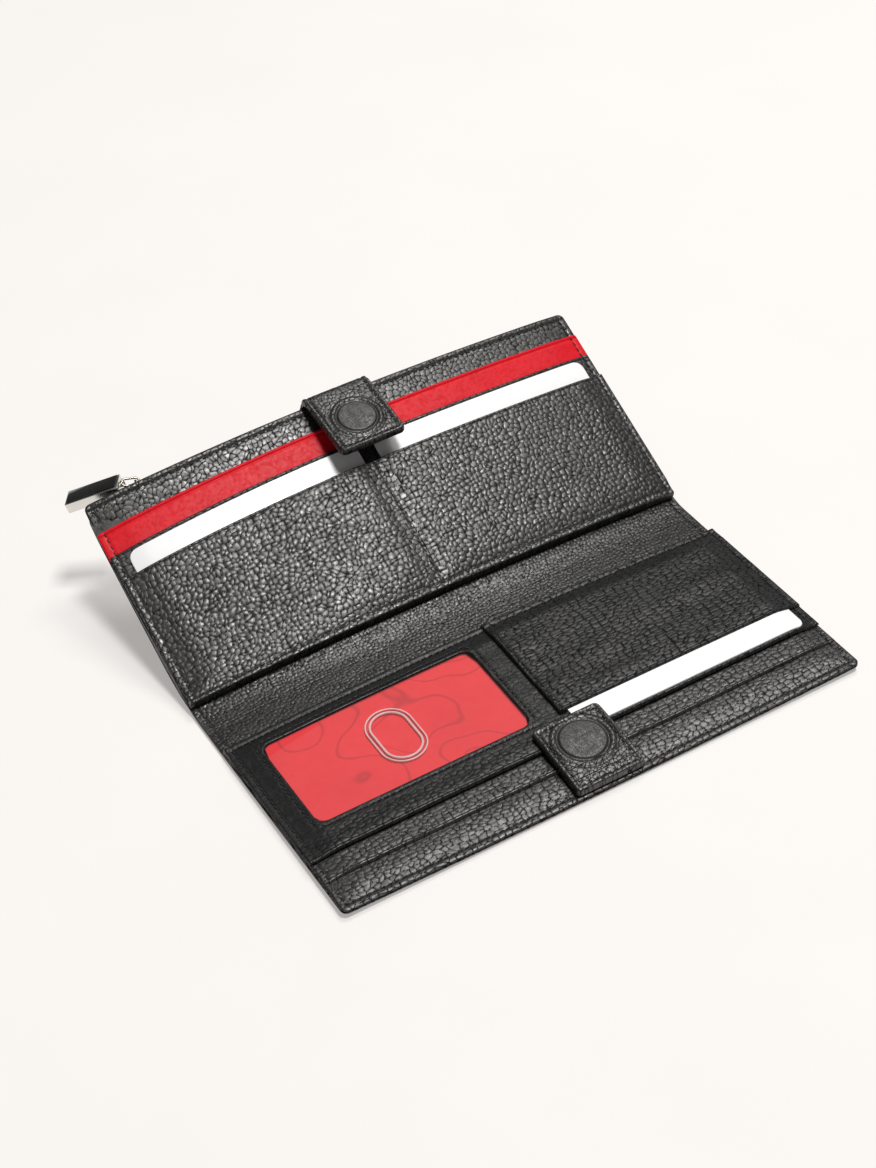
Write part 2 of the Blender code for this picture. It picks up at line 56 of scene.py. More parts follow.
WIDTH, DEPTH, SPINE = 188.0, 82.0, 21.0
HINGE = DEPTH + SPINE
TILT_DEGREES = 28.0
TILT = math.radians(TILT_DEGREES)
HALF = 0.5
BOW, PUFF, CURL = 6.0, 3.0, 1.1
FINE = 0.33
WINDOW = (10.2, 33.4, 85.8, 73.0)
TAB = (81.6, 106.4)
CARD_LENGTH = 85.6
CARD_CORNERS = (3.18,) * 4


# ---------------------------------------------------------------- noise

def lattice(i, j, seed):
    """A fixed random number from 0 to 1 for each lattice point."""
    mixed = (i.astype(np.int64) * 374761393 + j.astype(np.int64) * 668265263 + seed * 362437) & 0xFFFFFFFF
    mixed = ((mixed ^ (mixed >> 13)) * 1274126177) & 0xFFFFFFFF
    return ((mixed ^ (mixed >> 16)) & 0xFFFFFFFF) / 4294967296.0


def noise(x, y, size, seed):
    """Smooth noise from -1 to 1 with features about size across."""
    gx, gy = x / size, y / size
    i, j = np.floor(gx), np.floor(gy)
    fx, fy = gx - i, gy - j
    fx, fy = fx * fx * (3 - 2 * fx), fy * fy * (3 - 2 * fy)
    low = lattice(i, j, seed) * (1 - fx) + lattice(i + 1, j, seed) * fx
    high = lattice(i, j + 1, seed) * (1 - fx) + lattice(i + 1, j + 1, seed) * fx
    return 2 * (low * (1 - fy) + high * fy) - 1


def cells(x, y, size, seed):
    """How far each point is from a crease between pebbles, its pebble's own number, and the square
    of its distance from the pebble's middle."""
    gx, gy = x / size, y / size
    i, j = np.floor(gx), np.floor(gy)
    best, second, tone = np.full(x.shape, 9.0), np.full(x.shape, 9.0), np.zeros(x.shape)
    for di in (-1, 0, 1):
        for dj in (-1, 0, 1):
            ci, cj = i + di, j + dj
            px = ci + 0.5 + 0.8 * (lattice(ci, cj, seed) - 0.5)
            py = cj + 0.5 + 0.8 * (lattice(ci, cj, seed + 1) - 0.5)
            far = (gx - px) ** 2 + (gy - py) ** 2
            nearer = far < best
            second = np.where(nearer, best, np.minimum(second, far))
            tone = np.where(nearer, lattice(ci, cj, seed + 2), tone)
            best = np.where(nearer, far, best)
    return np.sqrt(second) - np.sqrt(best), tone, best


def smooth(t):
    """A soft step from 0 at t = 0 to 1 at t = 1."""
    t = np.clip(t, 0, 1)
    return t * t * (3 - 2 * t)


def pebble(size, depth, seed, stretch=(1.0, 1.0), warp=0.4, fine=0.05):
    """A leather grain: rounded pebbles between creases. Gives a function of x and y that returns the
    height, 0 at the pebbles' tops, and how far up the pebble a point is, from 0 in a crease to 1."""

    def grain(x, y):
        wx = x + warp * size * noise(x, y, size * 1.7, seed + 5) + 0.5 * noise(x, y, 7.0, seed + 15)
        wy = y + warp * size * noise(x, y, size * 1.7, seed + 6) + 0.5 * noise(x, y, 7.0, seed + 16)
        gap, tone, middle = cells(wx * stretch[0], wy * stretch[1], size, seed)
        small, _, _ = cells(wx * stretch[0], wy * stretch[1], size * 0.4, seed + 9)
        dome = 0.5 * (1 - np.exp(-gap / 0.11)) + 0.5 * (1 - np.clip(middle / 0.5, 0, 1.4))
        rise = dome * (0.8 + 0.4 * tone) + fine * (1 - np.exp(-small / 0.2))
        worn = 0.75 + 0.25 * noise(x, y, 16.0, seed + 20)
        # top is also the mask for the painted shade: the leather materials colour a point darker as top falls
        # towards 0 in a crease.
        top = np.clip(1.02 * (1 - np.exp(-gap / 0.13)) - 0.15 * tone, 0, 1)
        return depth * worn * (rise - 1.0 - fine), top

    return grain


def no_grain(x, y):
    """A plain face, as rough as the tops of the pebbles."""
    return np.zeros(x.shape), np.full(x.shape, 0.9)


# ---------------------------------------------------------------- where the sheets lie

def side(x):
    """0 in the middle of the wallet's length and 1 at its two ends."""
    return (2 * x / WIDTH - 1) ** 2


def near(d, reach):
    """1 at a seam and 0 beyond reach from it."""
    return 1 - smooth(d / reach)


def ridge(d, width):
    """A rounded ridge: 1 on its line, fading away on both sides."""
    return np.exp(-(d / width) ** 2)


def lower_scale(x, y):
    """The stack is thinner where it is sewn, and thicker between its seams."""
    edge = np.minimum(np.minimum(x, WIDTH - x), np.minimum(y, DEPTH - 1.5 - y) * 1.2)
    return 0.98 - 0.3 * near(edge - 2.0, 9.0)


def lower(x, y, z):
    """A point of the lower panel; the sheets above the cover puff up towards the spine."""
    t = y / DEPTH
    lift = PUFF * t * (1 - side(x)) * np.clip((z - 1.0) / 0.04, 0, 1)
    height = np.where(z > 1, 1 + (z - 1) * lower_scale(x, y), z)
    return x - WIDTH / 2, y - DEPTH / 2, height + lift + CURL * (1 - t) * side(x)


def upper_point(x, u, n):
    """A point of the leaning upper panel: u is the way up from its hinge, n the height above its cover."""
    m = n - HALF
    c, s = math.cos(TILT), math.sin(TILT)
    return x - WIDTH / 2, DEPTH / 2 + SPINE + u * c - m * s, HALF + u * s + m * c


def upper_scale(x, u):
    """The upper stack is thinner at its seams too, and along its divider."""
    edge = np.minimum(np.minimum(x, WIDTH - x), np.minimum(np.abs(x - WIDTH / 2) * 1.5, u * 1.1))
    return 0.98 - 0.17 * near(edge - 2.0, 10.0)


def droop(x, u):
    """The upper panel hangs a little lower towards the zip's open end."""
    amount = np.interp(u, (2.5, 5.0, 10.0, 20.0, 58.0, 72.0, 80.0), (0.0, 0.9, 2.6, 3.9, 3.9, 3.5, 1.2))
    return amount * np.clip(1 - x / 90.0, 0, 1) ** 2


def upper(x, u, n):
    """A point of the upper panel, whose sheets arch along the whole length."""
    height = np.where(n > 1, 1 + (n - 1) * upper_scale(x, u), n)
    across, y, z = upper_point(x, u, height + BOW * (1 - side(x)))
    return across, y, z - droop(x, u)


def lower_card(x, y, z, squeezed=0.0):
    """A point of a card in the lower panel, whose shape is the same all along its slide."""
    middle = 40.0
    across, _, height = lower(x, middle, z)
    slope = (PUFF * (1 - side(x)) - CURL * side(x)) / DEPTH
    thinner = lower_scale(x, np.maximum(y, middle)) - lower_scale(x, middle)
    return across, y - DEPTH / 2, height + slope * (y - middle) + squeezed * thinner * (z - 1)


def insert(x, y, z):
    """A point of the ID insert, which bends a little less than its window."""
    return lower_card(x, y, z + 0.25 * side(x), 0.7)


def upper_card(x, u, n):
    """A point of a card in the upper panel, whose shape is the same all along its slide."""
    middle = 30.0
    height = 1 + (n - 1) * upper_scale(x, middle)
    across, y, z = upper_point(x, u, height + BOW * (1 - side(x)))
    return across, y, z - droop(x, middle)


def cover(x, v, z):
    """A point of the outer cover: flat under the lower panel and the spine, then up the upper panel."""
    reach = 5.0
    radius = reach / math.tan(TILT / 2)
    turn = np.clip((v - HINGE + reach) / (2 * reach), 0, 1) * TILT
    start = DEPTH / 2 + SPINE - reach
    bent_y = start + (radius - (z - HALF)) * np.sin(turn)
    bent_z = HALF + radius - (radius - (z - HALF)) * np.cos(turn)
    lift = BOW * (1 - side(x)) * smooth((v - HINGE - reach) / 35.0)
    _, up_y, up_z = upper_point(x, v - HINGE, z + lift)
    curl = CURL * (1 - np.clip(v / DEPTH, 0, 1)) * side(x)
    y = np.where(v < HINGE - reach, v - DEPTH / 2, np.where(v > HINGE + reach, up_y, bent_y))
    height = np.where(v < HINGE - reach, z, np.where(v > HINGE + reach, up_z, bent_z))
    return x - WIDTH / 2, y, height + curl - droop(x, v - HINGE)


def flipped(x, v, z):
    """The cover from its outer face, where its grain is."""
    return cover(x, v, 2 * HALF - z)


LINER_LOW, LINER_HIGH = 79.0, HINGE + 2.5


def curve(t, start, start_slope, stop, stop_slope):
    """A cubic from start to stop with those slopes at its ends, and its own slope."""
    a, b = 2 * t**3 - 3 * t**2 + 1, t**3 - 2 * t**2 + t
    c, d = -2 * t**3 + 3 * t**2, t**3 - t**2
    slope = (6 * t**2 - 6 * t) * (start - stop) + (3 * t**2 - 4 * t + 1) * start_slope
    return a * start + b * start_slope + c * stop + d * stop_slope, slope + (3 * t**2 - 2 * t) * stop_slope


def liner(x, v, z):
    """A point of the spine's liner, which lies in a valley between the two panels."""
    lift = 1 - side(x)
    t = np.clip((v - LINER_LOW) / (LINER_HIGH - LINER_LOW), 0, 1)
    y0, z0 = LINER_LOW - DEPTH / 2, 1.05 + PUFF * LINER_LOW / DEPTH * lift
    _, y1, z1 = upper_point(x, LINER_HIGH - HINGE, 1.05 + BOW * lift)
    z1 = z1 - droop(x, LINER_HIGH - HINGE)
    reach = LINER_HIGH - LINER_LOW
    y, ty = curve(t, y0, reach, y1, reach * math.cos(TILT))
    up, tz = curve(t, z0, reach * (PUFF / DEPTH * lift), z1, reach * math.sin(TILT))
    far = np.hypot(ty, tz)
    clear = 0.55 * side(x) * 4 * t * (1 - t)
    mid = y - z * tz / far, up + clear + z * ty / far
    before = v - DEPTH / 2, 1.05 + z + PUFF * v / DEPTH * lift
    _, after_y, after_z = upper_point(x, v - HINGE, 1.05 + z + BOW * lift)
    after_z = after_z - droop(x, v - HINGE)
    y = np.where(v < LINER_LOW, before[0], np.where(v > LINER_HIGH, after_y, mid[0]))
    up = np.where(v < LINER_LOW, before[1], np.where(v > LINER_HIGH, after_z, mid[1]))
    return x - WIDTH / 2, y, up


def along(points, panel, spacing=0.25):
    """A strip that follows a path of (y, z) points in a panel's own section; v is the way along it."""
    corners = np.array(points, float)
    dense = [corners[0]]
    for k in range(1, len(corners) - 1):
        before, here, after = corners[k - 1], corners[k], corners[k + 1]
        cut = 0.45 * min(np.linalg.norm(here - before), np.linalg.norm(after - here))
        p = here + (before - here) / np.linalg.norm(before - here) * cut
        q = here + (after - here) / np.linalg.norm(after - here) * cut
        for t in np.linspace(0, 1, 9):
            dense.append((1 - t) ** 2 * p + 2 * t * (1 - t) * here + t * t * q)
    dense = np.array(dense + [corners[-1]])
    way = np.concatenate([[0], np.cumsum(np.linalg.norm(np.diff(dense, axis=0), axis=1))])
    evenly = np.linspace(0, way[-1], max(8, int(way[-1] / spacing)))
    path = np.stack([np.interp(evenly, way, dense[:, 0]), np.interp(evenly, way, dense[:, 1])], 1)
    slope = np.gradient(path, axis=0)
    slope /= np.linalg.norm(slope, axis=1, keepdims=True)

    def place(x, v, z):
        y, up = np.interp(v, evenly, path[:, 0]), np.interp(v, evenly, path[:, 1])
        dy, dz = np.interp(v, evenly, slope[:, 0]), np.interp(v, evenly, slope[:, 1])
        far = np.hypot(dy, dz)
        return panel(x, y - z * dz / far, up + z * dy / far)

    place.length = float(evenly[-1])
    return place


# ---------------------------------------------------------------- meshes

OFFSETS = np.array([0.0, 0.05, 0.13, 0.25, 0.42, 0.65, 0.95])


def lines(low, high, step, marks=(), fine=None, coarse=2.5):
    """Grid lines from low to high, crowded at marks, and wide apart outside fine."""
    stops = [low]
    while stops[-1] < high:
        at = stops[-1]
        inside = fine is None or fine[0] <= at <= fine[1]
        ahead = high if fine is None or at > fine[1] else (fine[0] if at < fine[0] else high)
        stops.append(min(at + (step if inside else coarse), ahead))
    close = [mark + sign * OFFSETS for mark in marks for sign in (-1, 1)]
    close = np.unique(np.round(np.concatenate(close + [[low, high]]), 5))
    close = close[(close >= low) & (close <= high)]
    keep = [at for at in stops if np.min(np.abs(close - at)) > 0.12]
    return np.unique(np.concatenate([keep, close]))


def nearest(values, at):
    """The number of the grid line nearest to a place."""
    return int(np.argmin(np.abs(values - at)))


def corners_of(box):
    """A rectangle's corners anticlockwise from the low left one, each with its two ways inwards."""
    left, low, right, high = box
    return (left, low, 1, 1), (right, low, -1, 1), (right, high, -1, -1), (left, high, 1, -1)


def round_corners(x, y, box, radii):
    """Pulls a grid's square corners in to arcs; a negative radius rounds a hole instead."""
    for (cx, cy, sx, sy), radius in zip(corners_of(box), radii):
        if radius == 0:
            continue
        hole, r = radius < 0, abs(radius)
        px, py = x - (cx + sx * r), y - (cy + sy * r)
        rho = np.maximum(np.abs(px), np.abs(py))
        far = np.maximum(np.hypot(px, py), 1e-9)
        weight = np.clip((2.6 - rho / r) / 1.6, 0, 1) ** 2 if hole else np.clip(rho / r, 0, 1) ** 1.5
        corner = (px * sx < 0) & (py * sy < 0)
        scale = np.where(corner, 1 + (rho / far - 1) * weight, 1)
        x, y = cx + sx * r + px * scale, cy + sy * r + py * scale
    return x, y


def box_distance(x, y, box, radii):
    """How far inside a rectangle with rounded corners each point is."""
    left, low, right, high = box
    inside = np.minimum(np.minimum(x - left, right - x), np.minimum(y - low, high - y))
    for (cx, cy, sx, sy), r in zip(corners_of(box), radii):
        if r == 0:
            continue
        px, py = (x - (cx + sx * r)) * sx, (y - (cy + sy * r)) * sy
        arc = r - np.hypot(px, py)
        inside = np.where((px < 0) & (py < 0), arc, inside)
    return inside


def make_mesh(name, points, faces, sharp=None):
    """An object from points in millimetres and a list of (n, k) arrays of corner numbers."""
    used = np.zeros(len(points), bool)
    for block in faces:
        used[np.concatenate([np.ravel(face) for face in block]) if isinstance(block, list) else block] = True
    number = np.cumsum(used) - 1
    corners, starts, total, flat = [], [], 0, []
    for index, block in enumerate(faces):
        rows = block if isinstance(block, list) else [block]
        for row in rows:
            row = np.atleast_2d(row)
            corners.append(number[row].ravel())
            starts.append(total + row.shape[1] * np.arange(len(row)))
            total += row.size
            flat.append(np.full(len(row), bool(sharp and sharp[index])))
    data = bpy.data.meshes.new(name)
    points = np.asarray(points)[used]
    data.vertices.add(len(points))
    data.vertices.foreach_set("co", (points * MM).astype(np.float32).ravel())
    starts = np.concatenate(starts)
    data.loops.add(total)
    data.polygons.add(len(starts))
    data.polygons.foreach_set("loop_start", starts.astype(np.int32))
    data.polygons.foreach_set("vertices", np.concatenate(corners).astype(np.int32))
    data.polygons.foreach_set("use_smooth", ~np.concatenate(flat))
    data.update(calc_edges=True)
    item = bpy.data.objects.new(name, data)
    bpy.context.collection.objects.link(item)
    return item, used


def add_attribute(item, name, values):
    """Gives every corner of a mesh a number or a vector that its material can read."""
    kind = "FLOAT_VECTOR" if np.ndim(values) == 2 else "FLOAT"
    layer = item.data.attributes.new(name, kind, "POINT")
    field = "vector" if kind == "FLOAT_VECTOR" else "value"
    layer.data.foreach_set(field, np.asarray(values, np.float32).ravel())


def sheet(name, place, box, span, look, step=FINE, soft="lrbt", radii=(0, 0, 0, 0), hole=None,
          hole_radius=0.0, roll=0.6, relief=None, grain=no_grain, fine_y=None, flip=False, under=30,
          hem=None):
    """A leather, card or film sheet as one closed solid: a fine face on one side and a plain one
    on the other. soft names the sides with a rounded edge, relief gives extra height from x, y and
    the distance to the edge, and hem lets an edge wrap down to a lower height."""
    left, low, right, high = box
    bottom, top = span
    thick = top - bottom
    mx = [left] * ("l" in soft) + [right] * ("r" in soft)
    my = [low] * ("b" in soft) + [high] * ("t" in soft)
    if hole:
        mx, my = mx + [hole[0], hole[2]], my + [hole[1], hole[3]]
    xs = lines(left, right, step, mx)
    ys = lines(low, high, step, my, fine_y)
    grid_x, grid_y = np.meshgrid(xs, ys)
    x, y = round_corners(grid_x, grid_y, box, radii)
    away = 50.0
    wide = (left - away * ("l" not in soft), low - away * ("b" not in soft),
            right + away * ("r" not in soft), high + away * ("t" not in soft))
    edge = box_distance(x, y, wide, radii)
    if hole:
        x, y = round_corners(x, y, hole, [-hole_radius] * 4)
        edge = np.minimum(edge, -box_distance_out(x, y, hole, hole_radius))
    edge = np.maximum(edge, 0)
    rise = np.sqrt(np.clip(1 - (1 - np.clip(edge / roll, 0, 1)) ** 2, 0, 1))
    z = bottom + thick * (0.1 + 0.9 * rise)
    height, crease = grain(x, y)
    settle = smooth(edge / (roll * 1.2))
    z = z + height * settle
    if relief:
        z = z + relief(x, y, edge) * settle
    base = np.full(x.shape, float(bottom))
    if hem:
        drop = hem(x, y)
        z, base = z - drop * (1 - rise), base - drop * near(edge, roll * 1.5)
    rows, columns = x.shape
    keep = set(range(0, rows, under)) | {0, rows - 1}
    if hole:
        i0, i1 = nearest(xs, hole[0]), nearest(xs, hole[2])
        j0, j1 = nearest(ys, hole[1]), nearest(ys, hole[3])
        keep |= {j0, j1}
    if hem:
        keep |= {nearest(ys, low + roll * 1.5), nearest(ys, high - roll * 1.5)}
    keep = np.array(sorted(keep))
    above = np.stack(place(x, y, z), -1).reshape(-1, 3)
    below = np.stack(place(x[keep], y[keep], base[keep]), -1).reshape(-1, 3)
    points = np.concatenate([above, below])
    faces = sheet_faces(rows, columns, keep, (j0, j1, i0, i1) if hole else None)
    if flip:
        faces = [[run[::-1] for run in block] if isinstance(block, list) else block[:, ::-1]
                 for block in faces]
    cut_sides = [side_name not in soft for side_name in "btlr"]
    item, used = make_mesh(name, points, faces, sharp=[False, True] + cut_sides + [False] * 4)
    flat_x = np.concatenate([x.ravel(), x[keep].ravel()])
    flat_y = np.concatenate([y.ravel(), y[keep].ravel()])
    seed = float(sum(map(ord, name)) % 97)
    flat = np.stack([flat_x, flat_y, np.full(flat_x.shape, seed)], -1)
    add_attribute(item, "flat", flat[used])
    # The crease attribute tells the leather materials where to paint the creases' shade.
    add_attribute(item, "crease", np.concatenate([crease.ravel(), np.full(len(keep) * columns, 0.6)])[used])
    item.data.materials.append(look)
    return item


def sheet_faces(rows, columns, keep, opening):
    """Faces of a closed sheet: a full grid above, the rows in keep below, and walls between them.
    opening has the first and last row and the first and last column of a hole."""
    top = np.arange(rows * columns).reshape(rows, columns)
    low = rows * columns + np.arange(len(keep) * columns).reshape(len(keep), columns)

    def cellular(number, mask):
        quads = np.stack([number[:-1, :-1], number[:-1, 1:], number[1:, 1:], number[1:, :-1]], -1)
        return quads[mask]

    def front_wall(j, k, a, b):
        t, w = top[j, a:b + 1], low[k, a:b + 1]
        return np.stack([w[:-1], w[1:], t[1:], t[:-1]], -1)

    def left_wall(i, first, last):
        blocks = []
        for k in range(first, last):
            run = top[keep[k]:keep[k + 1] + 1, i]
            blocks.append(np.concatenate([run, [low[k + 1, i], low[k, i]]]))
        return blocks

    solid = np.ones((rows - 1, columns - 1), bool)
    solid_low = np.ones((len(keep) - 1, columns - 1), bool)
    walls = []
    if opening:
        j0, j1, i0, i1 = opening
        k0, k1 = (int(np.where(keep == j)[0][0]) for j in (j0, j1))
        solid[j0:j1, i0:i1] = False
        solid_low[k0:k1, i0:i1] = False
        walls = [front_wall(j0, k0, i0, i1)[:, ::-1], front_wall(j1, k1, i0, i1)]
        walls += [[run[::-1] for run in left_wall(i0, k0, k1)], left_wall(i1, k0, k1)]
    last, end = columns - 1, len(keep) - 1
    faces = [cellular(top, solid), cellular(low, solid_low)[:, ::-1]]
    faces += [front_wall(0, 0, 0, last), front_wall(-1, -1, 0, last)[:, ::-1]]
    faces += [left_wall(0, 0, end), [run[::-1] for run in left_wall(last, 0, end)]]
    return faces + walls


def box_distance_out(x, y, box, radius):
    """Negative outside a rounded rectangle: minus the distance to it."""
    left, low, right, high = box
    px = np.abs(x - (left + right) / 2) - (right - left) / 2 + radius
    py = np.abs(y - (low + high) / 2) - (high - low) / 2 + radius
    outside = np.hypot(np.maximum(px, 0), np.maximum(py, 0)) + np.minimum(np.maximum(px, py), 0) - radius
    return -outside


def tube(name, path, radius, look, sides=10, closed=False):
    """A round wire along points in millimetres."""
    path = np.asarray(path, float)
    tangent = np.gradient(path, axis=0)
    if closed:
        tangent = np.roll(path, -1, 0) - np.roll(path, 1, 0)
    tangent /= np.linalg.norm(tangent, axis=1, keepdims=True)
    hint = np.array([0.0, 0.0, 1.0])
    if abs(tangent[:, 2]).max() > 0.9:
        hint = np.array([0.3, 0.9, 0.2])
    across = np.cross(tangent, hint)
    across /= np.linalg.norm(across, axis=1, keepdims=True)
    up = np.cross(across, tangent)
    angle = np.linspace(0, 2 * math.pi, sides, endpoint=False)
    ring = path[:, None] + radius * (
        np.cos(angle)[None, :, None] * across[:, None] + np.sin(angle)[None, :, None] * up[:, None])
    number = np.arange(len(path) * sides).reshape(len(path), sides)
    after = np.roll(number, -1, 1)
    if closed:
        number, after = np.vstack([number, number[:1]]), np.vstack([after, after[:1]])
    quads = np.stack([number[:-1], number[1:], after[1:], after[:-1]], -1).reshape(-1, 4)
    faces = [quads]
    if not closed:
        faces += [[number[0]], [number[-1][::-1]]]
    item, _ = make_mesh(name, ring.reshape(-1, 3), faces)
    return finished(item, look)


def finished(item, look):
    """Turns a mesh's faces outwards and gives it its material."""
    mesh = bmesh.new()
    mesh.from_mesh(item.data)
    bmesh.ops.recalc_face_normals(mesh, faces=mesh.faces)
    mesh.to_mesh(item.data)
    mesh.free()
    item.data.materials.append(look)
    return item


def join(name, items):
    """Merges meshes into one piece."""
    with bpy.context.temp_override(active_object=items[0], selected_editable_objects=items):
        bpy.ops.object.join()
    items[0].name = name
    return items[0]


STITCH_RINGS = np.linspace(0, 1, 9)


def stitches(name, place, path, look, pitch=2.4, length=1.65, radius=0.22, sink=0.17, slant=0.12):
    """A sewn seam: separate stitches along a path of (x, y, z) points on a panel."""
    path = np.asarray(path, float)
    way = np.concatenate([[0], np.cumsum(np.linalg.norm(np.diff(path[:, :2], axis=0), axis=1))])
    count = max(1, int(way[-1] / pitch))
    gap = way[-1] / count

    def at(distance, aside=0.0):
        x, y, z = (np.interp(distance, way, path[:, k]) for k in range(3))
        ahead = [np.interp(distance + 0.05, way, path[:, k]) - np.interp(distance - 0.05, way, path[:, k])
                 for k in range(2)]
        far = np.maximum(np.hypot(*ahead), 1e-9)
        return x - ahead[1] / far * aside, y + ahead[0] / far * aside, z

    middle = (np.arange(count) + 0.5) * gap
    t = STITCH_RINGS[None, :]
    distance = middle[:, None] + (t - 0.5) * length
    x, y, z = at(distance, (t - 0.5) * 2 * slant)
    lift = radius * 0.9 * (1 - (2 * t - 1) ** 4) - sink
    centre = np.stack(place(x, y, z + lift), -1)
    tangent = np.gradient(centre, axis=1)
    tangent /= np.linalg.norm(tangent, axis=2, keepdims=True)
    up = np.stack(place(x, y, z + 1.0), -1) - np.stack(place(x, y, z), -1)
    across = np.cross(tangent, up)
    across /= np.linalg.norm(across, axis=2, keepdims=True)
    up = np.cross(across, tangent)
    sides = 8
    angle = np.linspace(0, 2 * math.pi, sides, endpoint=False)
    fat = radius * np.sqrt(np.clip(1 - np.abs(2 * t - 1) ** 3.0, 0.03, 1))[..., None, None]
    ring = centre[:, :, None] + fat * (np.cos(angle)[None, None, :, None] * across[:, :, None]
                                       + np.sin(angle)[None, None, :, None] * up[:, :, None])
    number = np.arange(count * len(STITCH_RINGS) * sides).reshape(count, len(STITCH_RINGS), sides)
    after = np.roll(number, -1, 2)
    quads = np.stack([number[:, :-1], after[:, :-1], after[:, 1:], number[:, 1:]], -1).reshape(-1, 4)
    faces = [quads, number[:, 0][:, ::-1].copy(), number[:, -1].copy()]
    item, _ = make_mesh(name, ring.reshape(-1, 3), faces)
    return finished(item, look)


def groove(x, y, path, depth, width):
    """The dent that a row of stitches pulls into the leather."""
    far = np.full(x.shape, 99.0)
    for (ax, ay), (bx, by) in zip(path[:-1], path[1:]):
        length2 = (bx - ax) ** 2 + (by - ay) ** 2
        t = np.clip(((x - ax) * (bx - ax) + (y - ay) * (by - ay)) / length2, 0, 1)
        far = np.minimum(far, np.hypot(x - ax - t * (bx - ax), y - ay - t * (by - ay)))
    return -depth * ridge(far, width)


# ---------------------------------------------------------------- materials

class Nodes:
    """Small helper that builds one material's nodes."""

    def __init__(self, name):
        self.material = bpy.data.materials.new(name)
        self.material.use_nodes = True
        self.tree = self.material.node_tree
        self.shader = self.tree.nodes["Principled BSDF"]

    def add(self, kind, inputs=(), **settings):
        node = self.tree.nodes.new(kind)
        for key, value in settings.items():
            setattr(node, key, value)
        for key, value in dict(inputs).items():
            self.feed(node.inputs[key], value)
        return node

    def feed(self, socket, value):
        """Links what another node gives, or sets a plain value."""
        if isinstance(value, bpy.types.NodeSocket):
            self.tree.links.new(value, socket)
        else:
            socket.default_value = value

    def set(self, **values):
        for key, value in values.items():
            self.feed(self.shader.inputs[key.replace("_", " ")], value)

    def attribute(self, name):
        return self.add("ShaderNodeAttribute", attribute_name=name)

    def noise(self, where, scale, detail=3.0, rough=0.55):
        return self.add("ShaderNodeTexNoise", {"Vector": where, "Scale": scale, "Detail": detail,
                                               "Roughness": rough}).outputs["Fac"]

    def ramp(self, fac, *stops):
        node = self.add("ShaderNodeValToRGB", {"Fac": fac})
        ramp = node.color_ramp
        for _ in range(len(stops) - 2):
            ramp.elements.new(0.5)
        for element, (place, colour) in zip(ramp.elements, stops):
            element.position = place
        for element, (place, colour) in zip(ramp.elements, stops):
            element.color = (*colour, 1) if np.ndim(colour) else (colour, colour, colour, 1)
        return node.outputs["Color"]

    def mix(self, fac, a, b):
        node = self.add("ShaderNodeMix", data_type="RGBA")
        for key, value in (("Factor", fac), ("A", a), ("B", b)):
            socket = [s for s in node.inputs if s.name == key and (key == "Factor" or s.type == "RGBA")][0]
            self.feed(socket, (*value, 1) if isinstance(value, tuple) else value)
        return [s for s in node.outputs if s.type == "RGBA"][0]

    def math(self, operation, a, b=0.0):
        node = self.add("ShaderNodeMath", operation=operation)
        for socket, value in zip(node.inputs, (a, b)):
            self.feed(socket, value)
        return node.outputs[0]

    def bump(self, height, strength, distance, normal=None):
        inputs = {"Height": height, "Strength": strength, "Distance": distance * MM}
        if normal:
            inputs["Normal"] = normal
        return self.add("ShaderNodeBump", inputs).outputs["Normal"]


def leather(name, crease, top, rough, pores=1.0, spec=0.5, fine_scale=2.6):
    """Grained leather: creases painted darker for the shade that falls in them, pebble tops rubbed a little
    smoother, and fine pores.
    """
    made = Nodes(name)
    flat = made.attribute("flat").outputs["Vector"]
    rise = made.attribute("crease").outputs["Fac"]
    broad = made.noise(flat, 0.09, 3.0)
    speck = made.noise(flat, 3.4, 4.0, 0.65)
    # Painted shade: the colour runs from the crease colour, where the pebble's crease value is low, up to the
    # leather's own colour on the tops.
    body = made.ramp(rise, (0.05, crease), (0.75, top))
    body = made.mix(made.ramp(broad, (0.3, 0.0), (0.75, 0.5)), body, tuple(c * 1.35 for c in top))
    body = made.mix(made.ramp(speck, (0.45, 0.0), (0.8, 0.35)), body, tuple(c * 0.55 for c in top))
    low, high = rough
    shine = made.ramp(rise, (0.1, high), (0.8, low))
    shine = made.mix(made.ramp(made.noise(flat, 0.55, 2.0), (0.35, 0.0), (0.7, 0.45)), shine, (high,) * 3)
    pore = made.add("ShaderNodeTexVoronoi", {"Vector": flat, "Scale": fine_scale}, feature="DISTANCE_TO_EDGE")
    tiny = made.ramp(pore.outputs["Distance"], (0.0, 0.0), (0.16, 1.0))
    normal = made.bump(tiny, 0.25 * pores, 0.03)
    normal = made.bump(made.noise(flat, 6.0, 3.0, 0.6), 0.2 * pores, 0.03, normal)
    made.set(Base_Color=body, Roughness=shine, Normal=normal)
    made.set(Specular_IOR_Level=made.ramp(rise, (0.15, spec * 0.12), (0.85, spec)))
    return made.material


def woven(name, colour, scale=2.2, rough=0.85):
    """Plain woven cloth: over and under threads from two crossed waves."""
    made = Nodes(name)
    flat = made.attribute("flat").outputs["Vector"]
    inputs = {"Vector": flat, "Scale": scale, "Distortion": 0.3}
    warp = made.add("ShaderNodeTexWave", inputs, bands_direction="X")
    weft = made.add("ShaderNodeTexWave", inputs, bands_direction="Y")
    cloth = made.math("MULTIPLY", warp.outputs["Fac"], weft.outputs["Fac"])
    fibre = made.noise(flat, 6.0, 3.0)
    body = made.ramp(cloth, (0.1, tuple(c * 0.5 for c in colour)), (0.9, tuple(c * 1.4 for c in colour)))
    body = made.mix(made.ramp(fibre, (0.3, 0.0), (0.8, 0.4)), body, tuple(c * 0.8 for c in colour))
    made.set(Base_Color=body, Roughness=rough, Normal=made.bump(cloth, 0.5, 0.08))
    made.set(Sheen_Weight=0.15)
    return made.material


def object_point(made):
    """The place on a piece in its own coordinates, in metres."""
    return made.add("ShaderNodeTexCoord").outputs["Object"]


